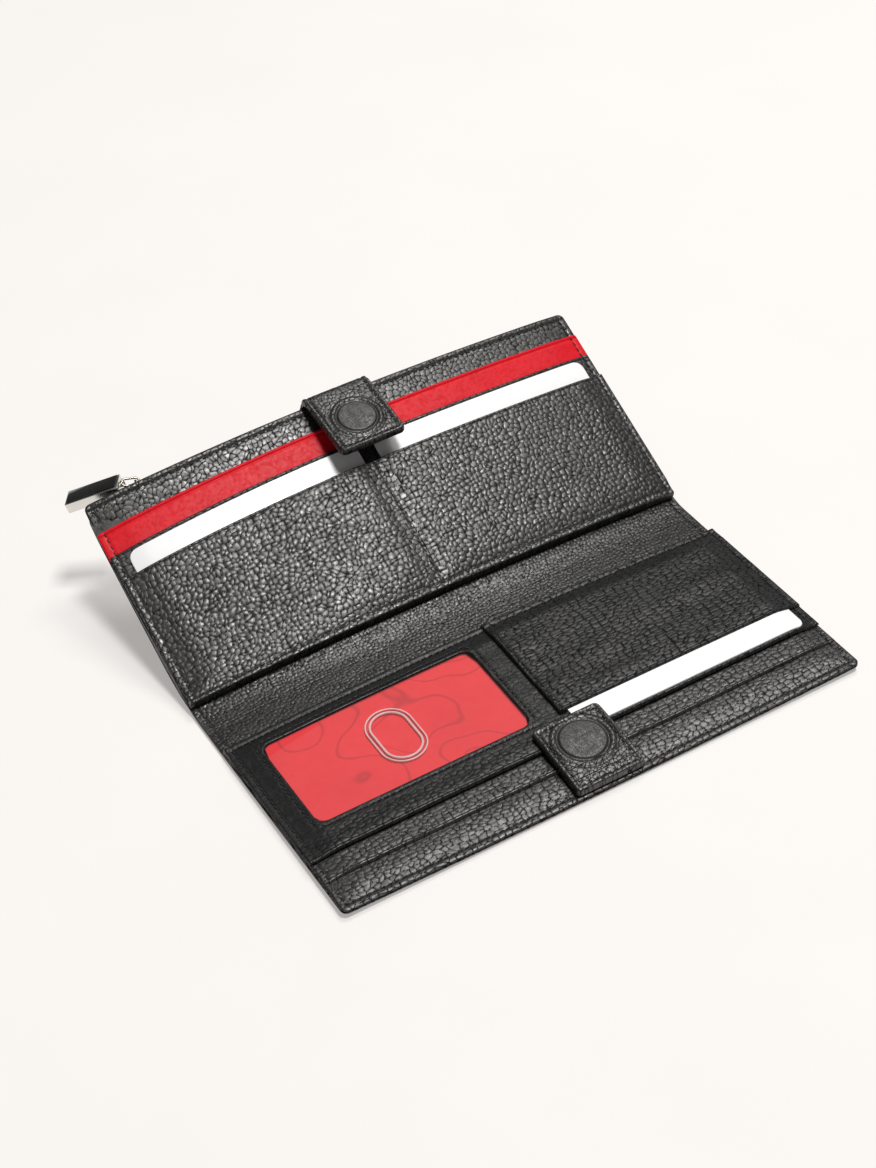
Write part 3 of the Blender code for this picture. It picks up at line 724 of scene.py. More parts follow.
def thread_look():
    """Waxed sewing thread with its twist."""
    made = Nodes("thread_waxed")
    where = object_point(made)
    inputs = {"Vector": where, "Scale": 900.0, "Distortion": 2.0}
    wave = made.add("ShaderNodeTexWave", inputs, bands_direction="DIAGONAL")
    body = made.ramp(wave.outputs["Fac"], (0.2, (0.004, 0.004, 0.004)), (0.8, (0.016, 0.015, 0.015)))
    made.set(Base_Color=body, Roughness=0.5, Sheen_Weight=0.1)
    made.set(Normal=made.bump(wave.outputs["Fac"], 0.5, 0.05))
    return made.material


def metal(name, colour, rough, brushed=0.0, tarnish=0.0):
    """Plated metal with fine brushing and uneven gloss."""
    made = Nodes(name)
    where = object_point(made)
    patch = made.noise(where, 260.0, 3.0)
    fine = made.noise(where, 2600.0, 2.0)
    darker = tuple(c * (0.9 - tarnish) for c in colour)
    body = made.mix(made.ramp(patch, (0.35, 0.0), (0.75, 0.5)), colour, darker)
    shine = made.ramp(fine, (0.3, rough * 0.8), (0.7, min(rough * 1.3, 1.0)))
    made.set(Base_Color=body, Roughness=shine, Metallic=1.0, Normal=made.bump(fine, 0.15 + brushed, 0.01))
    return made.material


def build_looks():
    """All the materials, by the names that the pieces below use."""
    # Each leather's first colour is painted shade for its creases; the second is its own colour on the pebble
    # tops.
    crease = (0.0015, 0.0014, 0.0015)
    smooth_crease_shade = (0.004, 0.004, 0.0042)
    smooth_top = (0.009, 0.0086, 0.009)
    red_crease_shade, red_top = (0.38, 0.002, 0.009), (0.64, 0.006, 0.016)
    looks = {
        "coarse": leather("leather_pebbled", crease, (0.011, 0.0104, 0.0104), (0.3, 0.9), spec=1.0),
        "fine": leather("leather_fine_grain", crease, (0.0105, 0.010, 0.010), (0.32, 0.9), spec=1.0),
        "pocket": leather("leather_pocket", crease, smooth_top, (0.34, 0.9), spec=0.55),
        "smooth": leather("leather_smooth_black", smooth_crease_shade, smooth_top, (0.34, 0.6), 0.6),
        "red": leather("leather_red", red_crease_shade, red_top, (0.42, 0.6), 0.8, spec=0.2, fine_scale=2.0),
        "lining": woven("lining_twill", (0.012, 0.012, 0.013)),
        "tape": woven("zip_tape_weave", (0.008, 0.008, 0.008), 3.2, 0.8),
        "thread": thread_look(),
        "zip": metal("zip_plated", (0.30, 0.27, 0.24), 0.26, tarnish=0.2),
        "silver": metal("bar_satin_silver", (0.74, 0.72, 0.69), 0.24, brushed=0.1),
        "magnet": metal("magnet_nickel", (0.5, 0.5, 0.52), 0.3),
    }
    enamel = Nodes("enamel_black")
    where = object_point(enamel)
    enamel.set(Base_Color=enamel.ramp(enamel.noise(where, 300.0), (0.3, (0.004, 0.004, 0.005)),
                                      (0.7, (0.009, 0.009, 0.01))),
               Roughness=enamel.ramp(enamel.noise(where, 900.0), (0.3, 0.06), (0.7, 0.14)), Coat_Weight=0.5)
    looks["enamel"] = enamel.material
    card = Nodes("card_white")
    flat = card.attribute("flat").outputs["Vector"]
    card.set(Base_Color=card.mix(card.ramp(card.noise(flat, 0.15), (0.3, 0.0), (0.7, 0.6)),
                                 (0.93, 0.935, 0.95), (0.90, 0.91, 0.93)),
             Roughness=card.ramp(card.noise(flat, 2.5), (0.3, 0.28), (0.7, 0.38)),
             Normal=card.bump(card.noise(flat, 6.0), 0.08, 0.02), Coat_Weight=0.2)
    looks["card"] = card.material
    looks["insert"] = insert_look()
    looks["film"] = film_look("window_film", 0.035, 0.4)
    # The rims' pale, more opaque colour is a painted highlight on the raised rings.
    looks["rim"] = film_look("window_film_rim", 0.62, 0.25)
    return looks


def insert_look():
    """Printed paper with faint contour lines."""
    made = Nodes("insert_print")
    flat = made.attribute("flat").outputs["Vector"]
    hills = made.noise(flat, 0.028, 1.5, 0.4)
    bands = made.math("FRACT", made.math("MULTIPLY", hills, 9.0))
    line = made.ramp(bands, (0.0, 1.0), (0.09, 0.0), (0.91, 0.0), (1.0, 1.0))
    tone = made.ramp(made.noise(flat, 0.04, 2.0), (0.3, (0.70, 0.020, 0.029)), (0.7, (0.76, 0.025, 0.033)))
    body = made.mix(made.math("MULTIPLY", line, 0.8), tone, (0.46, 0.010, 0.018))
    made.set(Base_Color=body, Roughness=made.ramp(made.noise(flat, 4.0), (0.3, 0.5), (0.7, 0.62)),
             Normal=made.bump(made.noise(flat, 5.0, 4.0), 0.12, 0.03), Specular_IOR_Level=0.2)
    return made.material


def film_look(name, alpha, rough):
    """Clear plastic film. Its pale pink colour is painted sheen that lightens the insert; on the more opaque
    rims it is a painted highlight on the raised rings.
    """
    made = Nodes(name)
    flat = made.attribute("flat").outputs["Vector"] if name == "window_film" else object_point(made)
    scale = 0.3 if name == "window_film" else 300.0
    sheen_noise = made.noise(flat, scale, 2.0)
    # Painted sheen: the clear film has no colour of its own; this pale pink stands for its sheen, and on the
    # rims for their highlight.
    made.set(Base_Color=made.ramp(sheen_noise, (0.3, (0.85, 0.62, 0.62)), (0.7, (0.92, 0.72, 0.71))),
             Roughness=made.ramp(sheen_noise, (0.3, rough), (0.7, rough * 1.5)), Alpha=alpha,
             Normal=made.bump(sheen_noise, 0.1, 0.1), Specular_IOR_Level=0.5)
    return made.material


LOOK = build_looks()


def keep(item, body, look, *nodes):
    """Finishes a piece: its body and the CAD nodes it stands for."""
    if nodes:
        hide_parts(*nodes)
    if isinstance(body, str):
        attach(item, body)
    else:
        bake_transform(item)
    return item


def lay(body, nodes, name, place, box, span, look, **shape):
    """Makes and finishes a sheet; nodes are the names of the CAD nodes that it stands for."""
    keep(sheet(name, place, box, span, LOOK[look], **shape), body, look, *nodes.split())


def sew(body, nodes, name, place, path, **shape):
    """Makes and finishes a row of stitches."""
    keep(stitches(name, place, path, LOOK["thread"], **shape), body, "thread", *nodes.split())


# ---------------------------------------------------------------- camera, light and floor

CAMERA_AT = (-262.5, -458.5, 509.9)
CAMERA_RIGHT = (0.86190, -0.50186, -0.07249)
CAMERA_DOWN = (-0.37596, -0.53655, -0.75549)
CAMERA_AHEAD = (0.34026, 0.67842, -0.65113)
SENSOR, LENS = 36.0, 71.16
LIGHT_DISTANCE = 2.6


def build_studio():
    """The photo's camera, two soft lamps from above and behind, and a pale paper floor."""
    scene = bpy.context.scene
    data = bpy.data.cameras.new("camera")
    camera = bpy.data.objects.new("camera", data)
    scene.collection.objects.link(camera)
    axes = (Vector(CAMERA_RIGHT), -Vector(CAMERA_DOWN), -Vector(CAMERA_AHEAD))
    camera.matrix_world = Matrix.Translation(Vector(CAMERA_AT) * MM) @ Matrix(axes).transposed().to_4x4()
    data.sensor_fit, data.sensor_height, data.lens = "VERTICAL", SENSOR, LENS
    data.clip_start, data.clip_end = 0.01, 50.0
    scene.camera = camera
    scene.view_settings.view_transform = "Standard"
    world = bpy.data.worlds.new("studio")
    world.use_nodes = True
    scene.world = world
    sky = world.node_tree.nodes["Background"]
    sky.inputs["Color"].default_value = (1.0, 0.985, 0.965, 1)
    sky.inputs["Strength"].default_value = 0.11
    area_light("key", (0.38, 0.30, 0.87), (0.95, 0.8), 23.0)
    area_light("top", (0.15, -0.13, 0.96), (0.56, 0.46), 50.0)
    plane = bpy.data.meshes.new("floor")
    size = 6.0
    corners = [(-size, -size, 0), (size, -size, 0), (size, size, 0), (-size, size, 0)]
    plane.from_pydata(corners, [], [(0, 1, 2, 3)])
    floor = bpy.data.objects.new("floor", plane)
    scene.collection.objects.link(floor)
    floor.location.z = -0.0002
    look = Nodes("floor_paper")
    where = object_point(look)
    body = look.ramp(look.noise(where, 14.0), (0.3, (0.545, 0.532, 0.526)), (0.7, (0.56, 0.547, 0.541)))
    look.set(Base_Color=body, Roughness=0.9, Specular_IOR_Level=0.1, Emission_Color=(1.0, 0.963, 0.935, 1),
             Emission_Strength=0.36)
    plane.materials.append(look.material)


def area_light(name, way, size, power):
    """A rectangular lamp, size in metres, that shines on the wallet from a direction."""
    data = bpy.data.lights.new(name, "AREA")
    data.shape, data.size, data.size_y, data.energy = "RECTANGLE", size[0], size[1], power
    data.color = (1.0, 0.985, 0.96)
    lamp = bpy.data.objects.new(name, data)
    bpy.context.scene.collection.objects.link(lamp)
    way = Vector(way).normalized()
    lamp.location = way * LIGHT_DISTANCE
    lamp.rotation_euler = way.to_track_quat("Z", "Y").to_euler()


# ---------------------------------------------------------------- lower panel

IN = 80.5
SEAM = 2.5
WINDOW_SEAM = 1.9
COARSE_GRAIN = pebble(1.85, 0.36, 11, warp=0.2)
FINE_GRAIN = pebble(1.4, 0.3, 31, warp=0.22)
LONG_GRAIN = pebble(1.3, 0.22, 51, stretch=(0.42, 1.0), warp=0.25)
STRIP_GRAIN = pebble(1.45, 0.2, 71, stretch=(0.6, 1.0), warp=0.3)
SOFT_GRAIN = pebble(0.9, 0.03, 91, warp=0.5)


def tiny_grain(x, y):
    """The faint, even texture of smooth leather."""
    fleck = noise(x, y, 0.8, 201) + 0.6 * noise(x, y, 0.45, 203)
    return 0.012 * fleck, 0.75 + 0.2 * np.clip(fleck, -1, 1)


def mouth(edge, low=0.16, at=1.35):
    """The crease just inside a turned slot edge, and the roll that it leaves."""
    return 0.17 * ridge(edge - 0.7, 0.42) - low * ridge(edge - at, 0.28)


def hem_roll(edge):
    """Leather swells between a seam and the edge, and dips at the seam."""
    return 0.22 * np.sin(np.clip(edge / SEAM, 0, 1) * math.pi) - 0.24 * ridge(edge - SEAM, 0.55)


def soft_hem(x, y, edge):
    """The low swelling round the outer face of the cover."""
    return hem_roll(edge) * 0.6


def side_dip(x, depth=0.22):
    """The dents of the seams along the wallet's two short edges."""
    return -depth * ridge(np.minimum(x, WIDTH - x) - SEAM, 0.5)


def build_lower():
    lay("lower_panel", "lower_cover", "lower_cover_leather", flipped, (0, 0, WIDTH, 78.0), (0.0, 1.0),
        "coarse", step=2 * FINE, soft="lrb", radii=(2.2, 2.2, 0, 0), roll=0.8, grain=pebble(2.0, 0.12, 101),
        relief=soft_hem, flip=True)
    lay("lower_panel", "bill_pocket_lining", "bill_pocket_lining_cloth", lower, (2, 2, WIDTH - 2, 71.5),
        (1.06, 1.3), "lining", step=1.5, roll=0.2, radii=(2, 2, 0, 0))

    def base_relief(x, y, e):
        return hem_roll(e) * 0.9 + 0.25 * smooth((14 - y) / 3) * smooth((y - 3) / 4)

    lay("lower_panel", "lower_base_panel", "lower_base_leather", lower, (0, 0, WIDTH, IN - 0.3),
        (1.7, 2.45), "coarse", radii=(2.2, 2.2, 0, 0), roll=0.7, grain=STRIP_GRAIN, relief=base_relief,
        fine_y=(0, 14.5))
    front, hidden = 12.4, 23.0

    def strip_relief(x, y, e):
        return 0.45 * smooth((hidden - y) / 3.0) + mouth(y - front) + side_dip(x)

    lay("lower_panel", "slot_panel_outer", "outer_slot_leather", lower, (0.3, front, WIDTH - 0.3, IN - 0.5),
        (2.5, 3.1), "coarse", radii=(0.5, 0.5, 0, 0), roll=0.55, grain=STRIP_GRAIN, relief=strip_relief,
        fine_y=(front, hidden))
    build_window_panel()
    build_inner_pocket()
    build_lower_seams()


def grown(box, out):
    """A rectangle with all its sides moved outwards."""
    left, low, right, high = box
    return left - out, low - out, right + out, high + out


def build_window_panel():
    left, low, right, high = grown(WINDOW, WINDOW_SEAM)
    square = [(left, low), (right, low), (right, high), (left, high), (left, low)]

    def grain(x, y):
        smoothed, crease = SOFT_GRAIN(x, y)
        rough, pit = STRIP_GRAIN(x, y)
        share = np.clip(smooth((31 - y) / 5) + smooth((x - 93) / 6) + 0.45, 0, 1)
        wave = 0.10 * noise(x * 0.55, y * 1.6, 6.0, 77)
        return smoothed * (1 - share) + rough * share + wave, crease * (1 - share) + pit * share

    def relief(x, y, e):
        bend = mouth(y - 21.0) + 0.28 * smooth((30 - y) / 6)
        return bend + groove(x, y, square, 0.16, 0.45) + side_dip(x, 0.2) + hem_roll(IN - y) * (x < 96)

    lay("lower_panel", "slot_panel_middle", "window_panel_leather", lower, (0.3, 21.0, WIDTH - 0.3, IN),
        (4.05, 4.75), "smooth", radii=(0.5, 0.5, 0, 0), roll=0.55, hole=WINDOW, hole_radius=3.5, grain=grain,
        relief=relief, hem=lambda x, y: 2.3 * smooth((y - 74) / 4))
    lay("lower_panel", "window_plastic", "window_film_sheet", lower, grown(WINDOW, 3), (3.86, 3.97), "film",
        step=1.0, roll=0.12, relief=lambda x, y, e: 0.05 * noise(x, y, 18.0, 5))
    middle = ((WINDOW[0] + WINDOW[2]) / 2, (WINDOW[1] + WINDOW[3]) / 2)
    for index, (wide, long, radius) in enumerate(((12.5, 21.0, 0.42), (15.4, 23.9, 0.3))):
        ring = stadium_path(middle, wide, long)
        path = np.stack(lower(ring[:, 0], ring[:, 1], np.full(len(ring), 4.02)), -1)
        item = tube(f"window_film_rim_{index + 1}", path, radius, LOOK["rim"], closed=True)
        keep(item, "lower_panel", "rim")
    lay("id_insert", "id_insert", "insert_card_print", insert, (5.2, 24.0, 90.8, 76.6), (3.14, 3.28),
        "insert", step=0.8, radii=CARD_CORNERS, roll=0.1)


def stadium_path(centre, wide, long, count=28):
    """A closed path round a slot with two half-round ends."""
    half, straight = wide / 2, (long - wide) / 2
    points = []
    for middle, start in ((straight, 0.0), (-straight, math.pi)):
        for k in range(count + 1):
            a = start + math.pi * k / count
            points.append((centre[0] + half * math.cos(a), centre[1] + middle + half * math.sin(a)))
    return np.array(points)


def build_inner_pocket():
    left, front = 94.8, 31.5

    def relief(x, y, e):
        seams = side_dip(x, 0.2) - 0.2 * ridge(x - left - 1.7, 0.45)
        wave = 0.3 * noise(x * 0.35, y, 7.0, 21) * smooth((y - 33) / 4) * smooth((IN - 4 - y) / 4)
        return mouth(y - front) + seams + hem_roll(IN - y) + wave

    lay("lower_panel", "slot_panel_inner", "inner_pocket_leather", lower, (left, front, WIDTH - 0.3, IN),
        (5.7, 6.4), "pocket", roll=0.6, grain=LONG_GRAIN, relief=relief,
        hem=lambda x, y: 1.0 + 3.0 * smooth((y - 74) / 4))
    lay("card_lower", "card_lower", "card_lower_blank", lambda x, y, z: lower_card(x, y, z, 1.0),
        (97.7, 22.3, 183.3, 76.3), (4.8, 5.45), "card", step=0.9, radii=CARD_CORNERS, roll=0.18)


def build_lower_seams():
    left, right, end = SEAM, WIDTH - SEAM, IN - SEAM
    base, outer, window, inner = 2.42, 3.55, 4.8, 6.35
    rise = [(SEAM, base), (12.0, base), (12.8, outer), (20.6, outer), (21.4, window)]
    first = [(left, end, window)] + [(left, y, z) for y, z in reversed(rise)] + [(TAB[0] - 1, SEAM, base)]
    last = [(TAB[1] + 1, SEAM, base)] + [(right, y, z) for y, z in rise]
    last += [(right, 31.1, window), (right, 32.0, inner), (right, end, inner)]
    sew("lower_panel", "lower_seam_thread_left", "lower_seam_left", lower, first)
    sew("lower_panel", "lower_seam_thread_right", "lower_seam_right", lower, last)
    sew("lower_panel", "", "lower_inner_seam", lower,
        [(left + 1.5, end, window), (95.0, end, window), (97.0, end, inner), (right - 1.5, end, inner)])
    x0, y0, x1, y1 = grown(WINDOW, WINDOW_SEAM)
    cut = 3
    ring = [(x0, y0 + cut), (x0 + cut, y0), (x1 - cut, y0), (x1, y0 + cut), (x1, y1 - cut), (x1 - cut, y1),
            (x0 + cut, y1), (x0, y1 - cut), (x0, y0 + cut)]
    sew("lower_panel", "window_thread", "window_seam", lower, [(x, y, window) for x, y in ring])
    divider = [(96.5, 32.6, inner), (96.5, end - 1.5, inner)]
    sew("lower_panel", "divider_thread", "divider_seam", lower, divider)


# ---------------------------------------------------------------- spine and covers

COVER_TOP = 78.8


def zone(first, second, low, high, z=0.5):
    """A stretch between two bodies, from y low to y high: the two bodies and a point at each end. A piece
    given this is only baked in place.
    """
    return first, second, (0, low, z), (0, high, z)


def build_spine():
    middle = DEPTH + SPINE / 2
    outer = dict(roll=0.8, grain=pebble(2.0, 0.13, 101), relief=soft_hem, flip=True)
    low_zone = zone("lower_panel", "spine", DEPTH - 44.0, DEPTH - 38.0)
    high_zone = zone("spine", "upper_panel", HINGE - 44.0, HINGE - 38.0)
    lay(low_zone, "spine_cover", "spine_cover_lower_half", flipped, (0, 78.0, WIDTH, middle), (0.0, 1.0),
        "coarse", step=2 * FINE, soft="lr", under=4, **outer)
    lay(high_zone, "", "spine_cover_upper_half", flipped, (0, middle, WIDTH, HINGE + 5), (0.0, 1.0),
        "coarse", step=1.5 * FINE, soft="lr", under=4, **outer)
    lay("upper_panel", "upper_cover", "upper_cover_leather", flipped,
        (0, HINGE + 5, WIDTH, HINGE + COVER_TOP), (0.0, 1.0), "coarse", step=1.25 * FINE, soft="lrt",
        radii=(0, 0, 2.2, 2.2), **outer)

    def liner_relief(x, y, e):
        return 0.10 * noise(x * 0.5, y, 5.0, 41) + side_dip(x, 0.2)

    low_zone = zone("lower_panel", "spine", 36.0, 50.0)
    high_zone = zone("spine", "upper_panel", 52.0, 65.0)
    for name, start, stop, body, node in (("lower", 72.0, middle, low_zone, "spine_liner"),
                                          ("upper", middle, HINGE + 5.0, high_zone, "")):
        lay(body, node, f"spine_liner_{name}_half", liner, (0.3, start, WIDTH - 0.3, stop), (0.0, 0.5),
            "fine", soft="lr", roll=0.45, grain=FINE_GRAIN, relief=liner_relief, under=6)
    height = 0.42
    for name, x in (("left", SEAM), ("right", WIDTH - SEAM)):
        sew(low_zone, "", f"spine_seam_{name}_low", liner, [(x, 82.5, height), (x, middle - 0.6, height)])
        sew(high_zone, "", f"spine_seam_{name}_high", liner,
            [(x, middle + 0.6, height), (x, HINGE + 0.5, height)])


# ---------------------------------------------------------------- upper panel

TOP, RED_TOP, BACK_TOP, FRONT_TOP = 82.0, 72.3, 63.0, 53.6


def build_upper():
    for name, span in (("outer", (1.06, 1.3)), ("inner", (1.55, 1.8))):
        lay("upper_panel", f"coin_pocket_lining_{name}", f"coin_pocket_lining_{name}_cloth", upper,
            (2, 5.5, WIDTH - 2, 73.6), span, "lining", step=1.5, roll=0.2)

    def base_relief(x, u, e):
        return hem_roll(TOP - u) + side_dip(x)

    lay("upper_panel", "upper_base_panel", "zip_edge_leather", upper, (0, 2.8, WIDTH, TOP), (2.1, 2.8),
        "coarse", radii=(0, 0, 2.2, 2.2), roll=0.7, grain=pebble(1.8, 0.14, 131), relief=base_relief,
        fine_y=(71, TOP))

    def red_relief(x, u, e):
        return 1.5 * mouth(RED_TOP - u, 0.22, 1.6) + side_dip(x) + 0.08 * noise(x * 0.3, u, 5.0, 61)

    def tucked(x, u, n):
        narrower = 1 - 0.021 * smooth((62.5 - u) / 2.5)
        return upper(WIDTH / 2 + (x - WIDTH / 2) * narrower, u, n)

    lay("upper_panel", "red_slip_pocket", "red_pocket_leather", tucked, (0, 2.8, WIDTH, RED_TOP), (2.9, 3.6),
        "red", radii=(0, 0, 1, 1), roll=0.6, grain=tiny_grain, relief=red_relief, fine_y=(60, RED_TOP))

    def back_relief(x, u, e):
        return mouth(BACK_TOP - u, 0.14) + side_dip(x)

    lay("upper_panel", "card_slot_back", "back_slot_leather", upper, (0.3, 24.0, WIDTH - 0.3, BACK_TOP),
        (3.65, 4.25), "coarse", radii=(0, 0, 0.5, 0.5), roll=0.55, grain=STRIP_GRAIN, relief=back_relief,
        fine_y=(52, BACK_TOP))
    for name, left in (("card_left", 5.6), ("card_right", 97.2)):
        lay(name, name, f"{name}_blank", upper_card, (left, 7.3, left + CARD_LENGTH, 61.3), (4.45, 5.2),
            "card", step=0.9, radii=CARD_CORNERS, roll=0.18)

    def front_relief(x, u, e):
        divider = -0.3 * ridge(x - WIDTH / 2, 0.55)
        wave = 0.14 * noise(x * 0.6, u, 15.0, 81) * smooth(u / 10)
        return mouth(FRONT_TOP - u) + side_dip(x) + hem_roll(u - 1.5) + divider + wave

    lay("upper_panel", "card_pocket_front", "front_pocket_leather", upper, (0.3, 1.5, WIDTH - 0.3, FRONT_TOP),
        (5.12, 6.2), "coarse", radii=(1, 1, 0.5, 0.5), roll=0.65, grain=COARSE_GRAIN, relief=front_relief,
        hem=lambda x, u: 3.3 * smooth((8 - u) / 4))
    build_upper_seams()


def build_upper_seams():
    base, red, back, front = 2.82, 3.6, 4.25, 6.0
    left, right, low, high = SEAM, WIDTH - SEAM, 4.0, 79.5
    rise = [(low, front), (53.2, front), (54.2, back), (62.6, back), (63.4, red), (71.9, red), (72.7, base),
            (high, base)]
    for name, x, node in (("left", left, "upper_seam_thread"), ("right", right, "")):
        sew("upper_panel", node, f"upper_seam_{name}", upper, [(x, u, n) for u, n in rise])
    start, stop, centre, sunk = left + 1.5, right - 1.5, WIDTH / 2, front - 0.1
    for name, node, first, last in (
        ("zip_edge_seam", "zip_edge_thread", (start, high, base), (stop, high, base)),
        ("front_bottom_seam", "", (start, low, front), (stop, low, front)),
        ("pocket_divider_seam", "pocket_divider_thread", (centre, 5.5, sunk), (centre, 52.6, sunk)),
    ):
        sew("upper_panel", node, name, upper, np.linspace(first, last, 60))


# ---------------------------------------------------------------- tabs

UPPER_TAB_HINGE = (82.8, 12.0)
TAB_TILT = math.radians(12.0)
TAB_SEAM = 2.0
DISC = 7.5
RING, OUTER_DENT = 9.1, 10.4
SMALL_STITCH = dict(pitch=2.2, length=1.6)


def upper_tab(x, y, z):
    """A point of the upper tab, measured from its hinge, with y towards the hinge."""
    _, oy, oz = upper_point(0.0, *UPPER_TAB_HINGE)
    c, s = math.cos(TAB_TILT), math.sin(TAB_TILT)
    return x - WIDTH / 2, oy + y * c - z * s, oz + y * s + z * c


def bowed(x, u, n):
    """A point of the upper panel that follows its arch but keeps its own thickness."""
    return upper_point(x, u, n + BOW * (1 - side(x)))


def lower_flat(x, y, z):
    """A point above the lower panel without the panel's own bends."""
    return x - WIDTH / 2, y - DEPTH / 2, z


def tab_face(centre_y, size, whole_edge=None):
    """The relief and grain of a tab: a seam round it, and a smooth disc with a ring over the magnet."""
    rough = pebble(1.5, 0.15, 151)

    def radius(x, y):
        return np.hypot(x - WIDTH / 2, y - centre_y) / size

    def relief(x, y, e):
        e = whole_edge(x, y) if whole_edge else e
        r = radius(x, y)
        disc = 0.34 * smooth((DISC + 0.1 - r) / 0.7) + 0.12 * np.clip(1 - (r / DISC) ** 2, 0, 1)
        moat = -0.3 * ridge(r - DISC - 0.35, 0.35) - 0.22 * ridge(r - OUTER_DENT, 0.5)
        swell = 0.12 * np.sin(np.clip(e / TAB_SEAM, 0, 1) * math.pi)
        return disc + moat + 0.26 * ridge(r - RING, 0.75) + (swell - 0.22 * ridge(e - TAB_SEAM, 0.45))

    def grain(x, y):
        share = smooth((radius(x, y) - DISC) / 1.2)
        height, crease = rough(x, y)
        tiny, pit = SOFT_GRAIN(x, y)
        return height * share + 0.8 * tiny * (1 - share), crease * share + (0.44 + 0.3 * pit) * (1 - share)

    return relief, grain


def strap_relief(x, v, e):
    """A seam's dent and the swelling outside it."""
    return 0.1 * np.sin(np.clip(e / TAB_SEAM, 0, 1) * math.pi) - 0.2 * ridge(e - TAB_SEAM, 0.4)


def seam_round(far, near_end, top, turn=1.0):
    """A seam along a tab's two sides and round its free end at far."""
    left, right = TAB[0] + TAB_SEAM, TAB[1] - TAB_SEAM
    end = far + TAB_SEAM * turn
    return [(left, near_end, top), (left, end + turn, top), (left + 1, end, top),
            (right - 1, end, top), (right, end + turn, top), (right, near_end, top)]


def build_tab(name, place, far, near_end, centre_y, size, low, high, whole_edge=None):
    """One tab in three layers: back leather, magnet and front leather. far is its free end."""
    body, free_low = f"{name}_tab", far < near_end
    shape = dict(soft="lrb" if free_low else "lrt", radii=(2.2, 2.2, 0, 0) if free_low else (0, 0, 2.2, 2.2))
    relief, grain = tab_face(centre_y, size, whole_edge)
    box = (TAB[0], min(far, near_end), TAB[1], max(far, near_end))
    front, back = 0.75, 0.7
    lay(body, f"{body}_front", f"{body}_front_leather", place, box, (high - front, high), "coarse",
        step=FINE * 0.8, roll=0.7, relief=relief, grain=grain, under=8,
        hem=lambda x, y: np.full(x.shape, high - front - low - 0.76), **shape)
    lay(body, f"{body}_back", f"{body}_back_leather", lambda x, y, z: place(x, y, 2 * low + back - z), box,
        (low, low + back), "coarse", step=FINE * 1.2, roll=0.5, flip=True, grain=pebble(1.4, 0.12, 161),
        relief=lambda x, y, e: -0.2 * ridge(e - TAB_SEAM, 0.4), under=8, **shape)
    rounded = [(DISC - 0.25, 0), (DISC - 0.07, 0.07), (DISC, 0.22), (DISC, 0.33), (DISC - 0.07, 0.45),
               (DISC - 0.25, 0.52)]
    item = lathe(f"{name}_magnet_disc", [(0, 0), *rounded, (0, 0.52)], lambda r, a, h: place(
        WIDTH / 2 + r * np.cos(a), centre_y + r * np.sin(a), low + 0.82 + h), LOOK["magnet"])
    keep(item, body, "magnet", f"{name}_magnet")
    path = seam_round(far, near_end, high - 0.02, 1.0 if free_low else -1.0)
    sew(body, f"{body}_thread", f"{body}_seam", place, path, **SMALL_STITCH)


def lathe(name, profile, place, look, steps=64):
    """A solid of revolution from (radius, height) points that start and end on the axis."""
    inner = np.array(profile[1:-1], float)
    angle = np.linspace(0, 2 * math.pi, steps, endpoint=False)
    r, a = np.meshgrid(inner[:, 0], angle)
    h, _ = np.meshgrid(inner[:, 1], angle)
    points = np.stack(place(r, a, h), -1).reshape(-1, 3)
    ends = [np.stack(place(np.zeros(1), np.zeros(1), np.full(1, profile[k][1])), -1) for k in (0, -1)]
    points = np.concatenate([points] + ends)
    number = np.arange(steps * len(inner)).reshape(steps, len(inner))
    after = np.roll(number, -1, 0)
    quads = np.stack([number[:, :-1], after[:, :-1], after[:, 1:], number[:, 1:]], -1).reshape(-1, 4)
    first, last = len(points) - 2, len(points) - 1
    bottom = np.stack([number[:, 0], np.full(steps, first), after[:, 0]], -1)
    top = np.stack([number[:, -1], after[:, -1], np.full(steps, last)], -1)
    item, _ = make_mesh(name, points, [quads, bottom, top])
    return finished(item, look)


def outward(path):
    """A strip's outer face lies on the other side of its path."""
    return lambda x, v, z: path(x, v, -z)


def build_tabs():
    left, right = TAB
    build_tab("upper", upper_tab, -28.4, -2.4, -16.2, 0.9, -0.6, 2.0)
    strap = along([(60, -0.2), (71, -0.2), (77, -2.3), (82.4, -2.3), (82.4, 3.6)], bowed)
    lay("upper_panel", "upper_tab_strap", "upper_tab_strap_leather", outward(strap),
        (left, 0, right, strap.length), (0.0, 1.0), "coarse", soft="lrb", radii=(2, 2, 0, 0), roll=0.6,
        flip=True, grain=pebble(1.5, 0.12, 171), relief=strap_relief, under=6)
    sew("upper_panel", "strap_thread", "strap_seam", outward(strap), seam_round(0, strap.length - 1, 1.0),
        **SMALL_STITCH)
    root = along([(82.4, 9.6), (82.5, 11.0), (82.3, 12.1), (81.5, 12.6), (80.35, 12.9)], upper_point, 0.12)
    _, y0, z0 = upper_point(0, 83.0, 9.8)
    _, y1, z1 = upper_tab(0, -2.2, 0.7)
    lay(("upper_panel", "upper_tab", (0, y0, z0), (0, y1, z1)), "", "upper_tab_root_leather", outward(root),
        (left, 0, right, root.length), (-0.9, 1.0), "coarse", soft="lr", roll=0.6, flip=True,
        grain=pebble(1.5, 0.10, 181), relief=strap_relief, under=3)
    build_lower_tab()


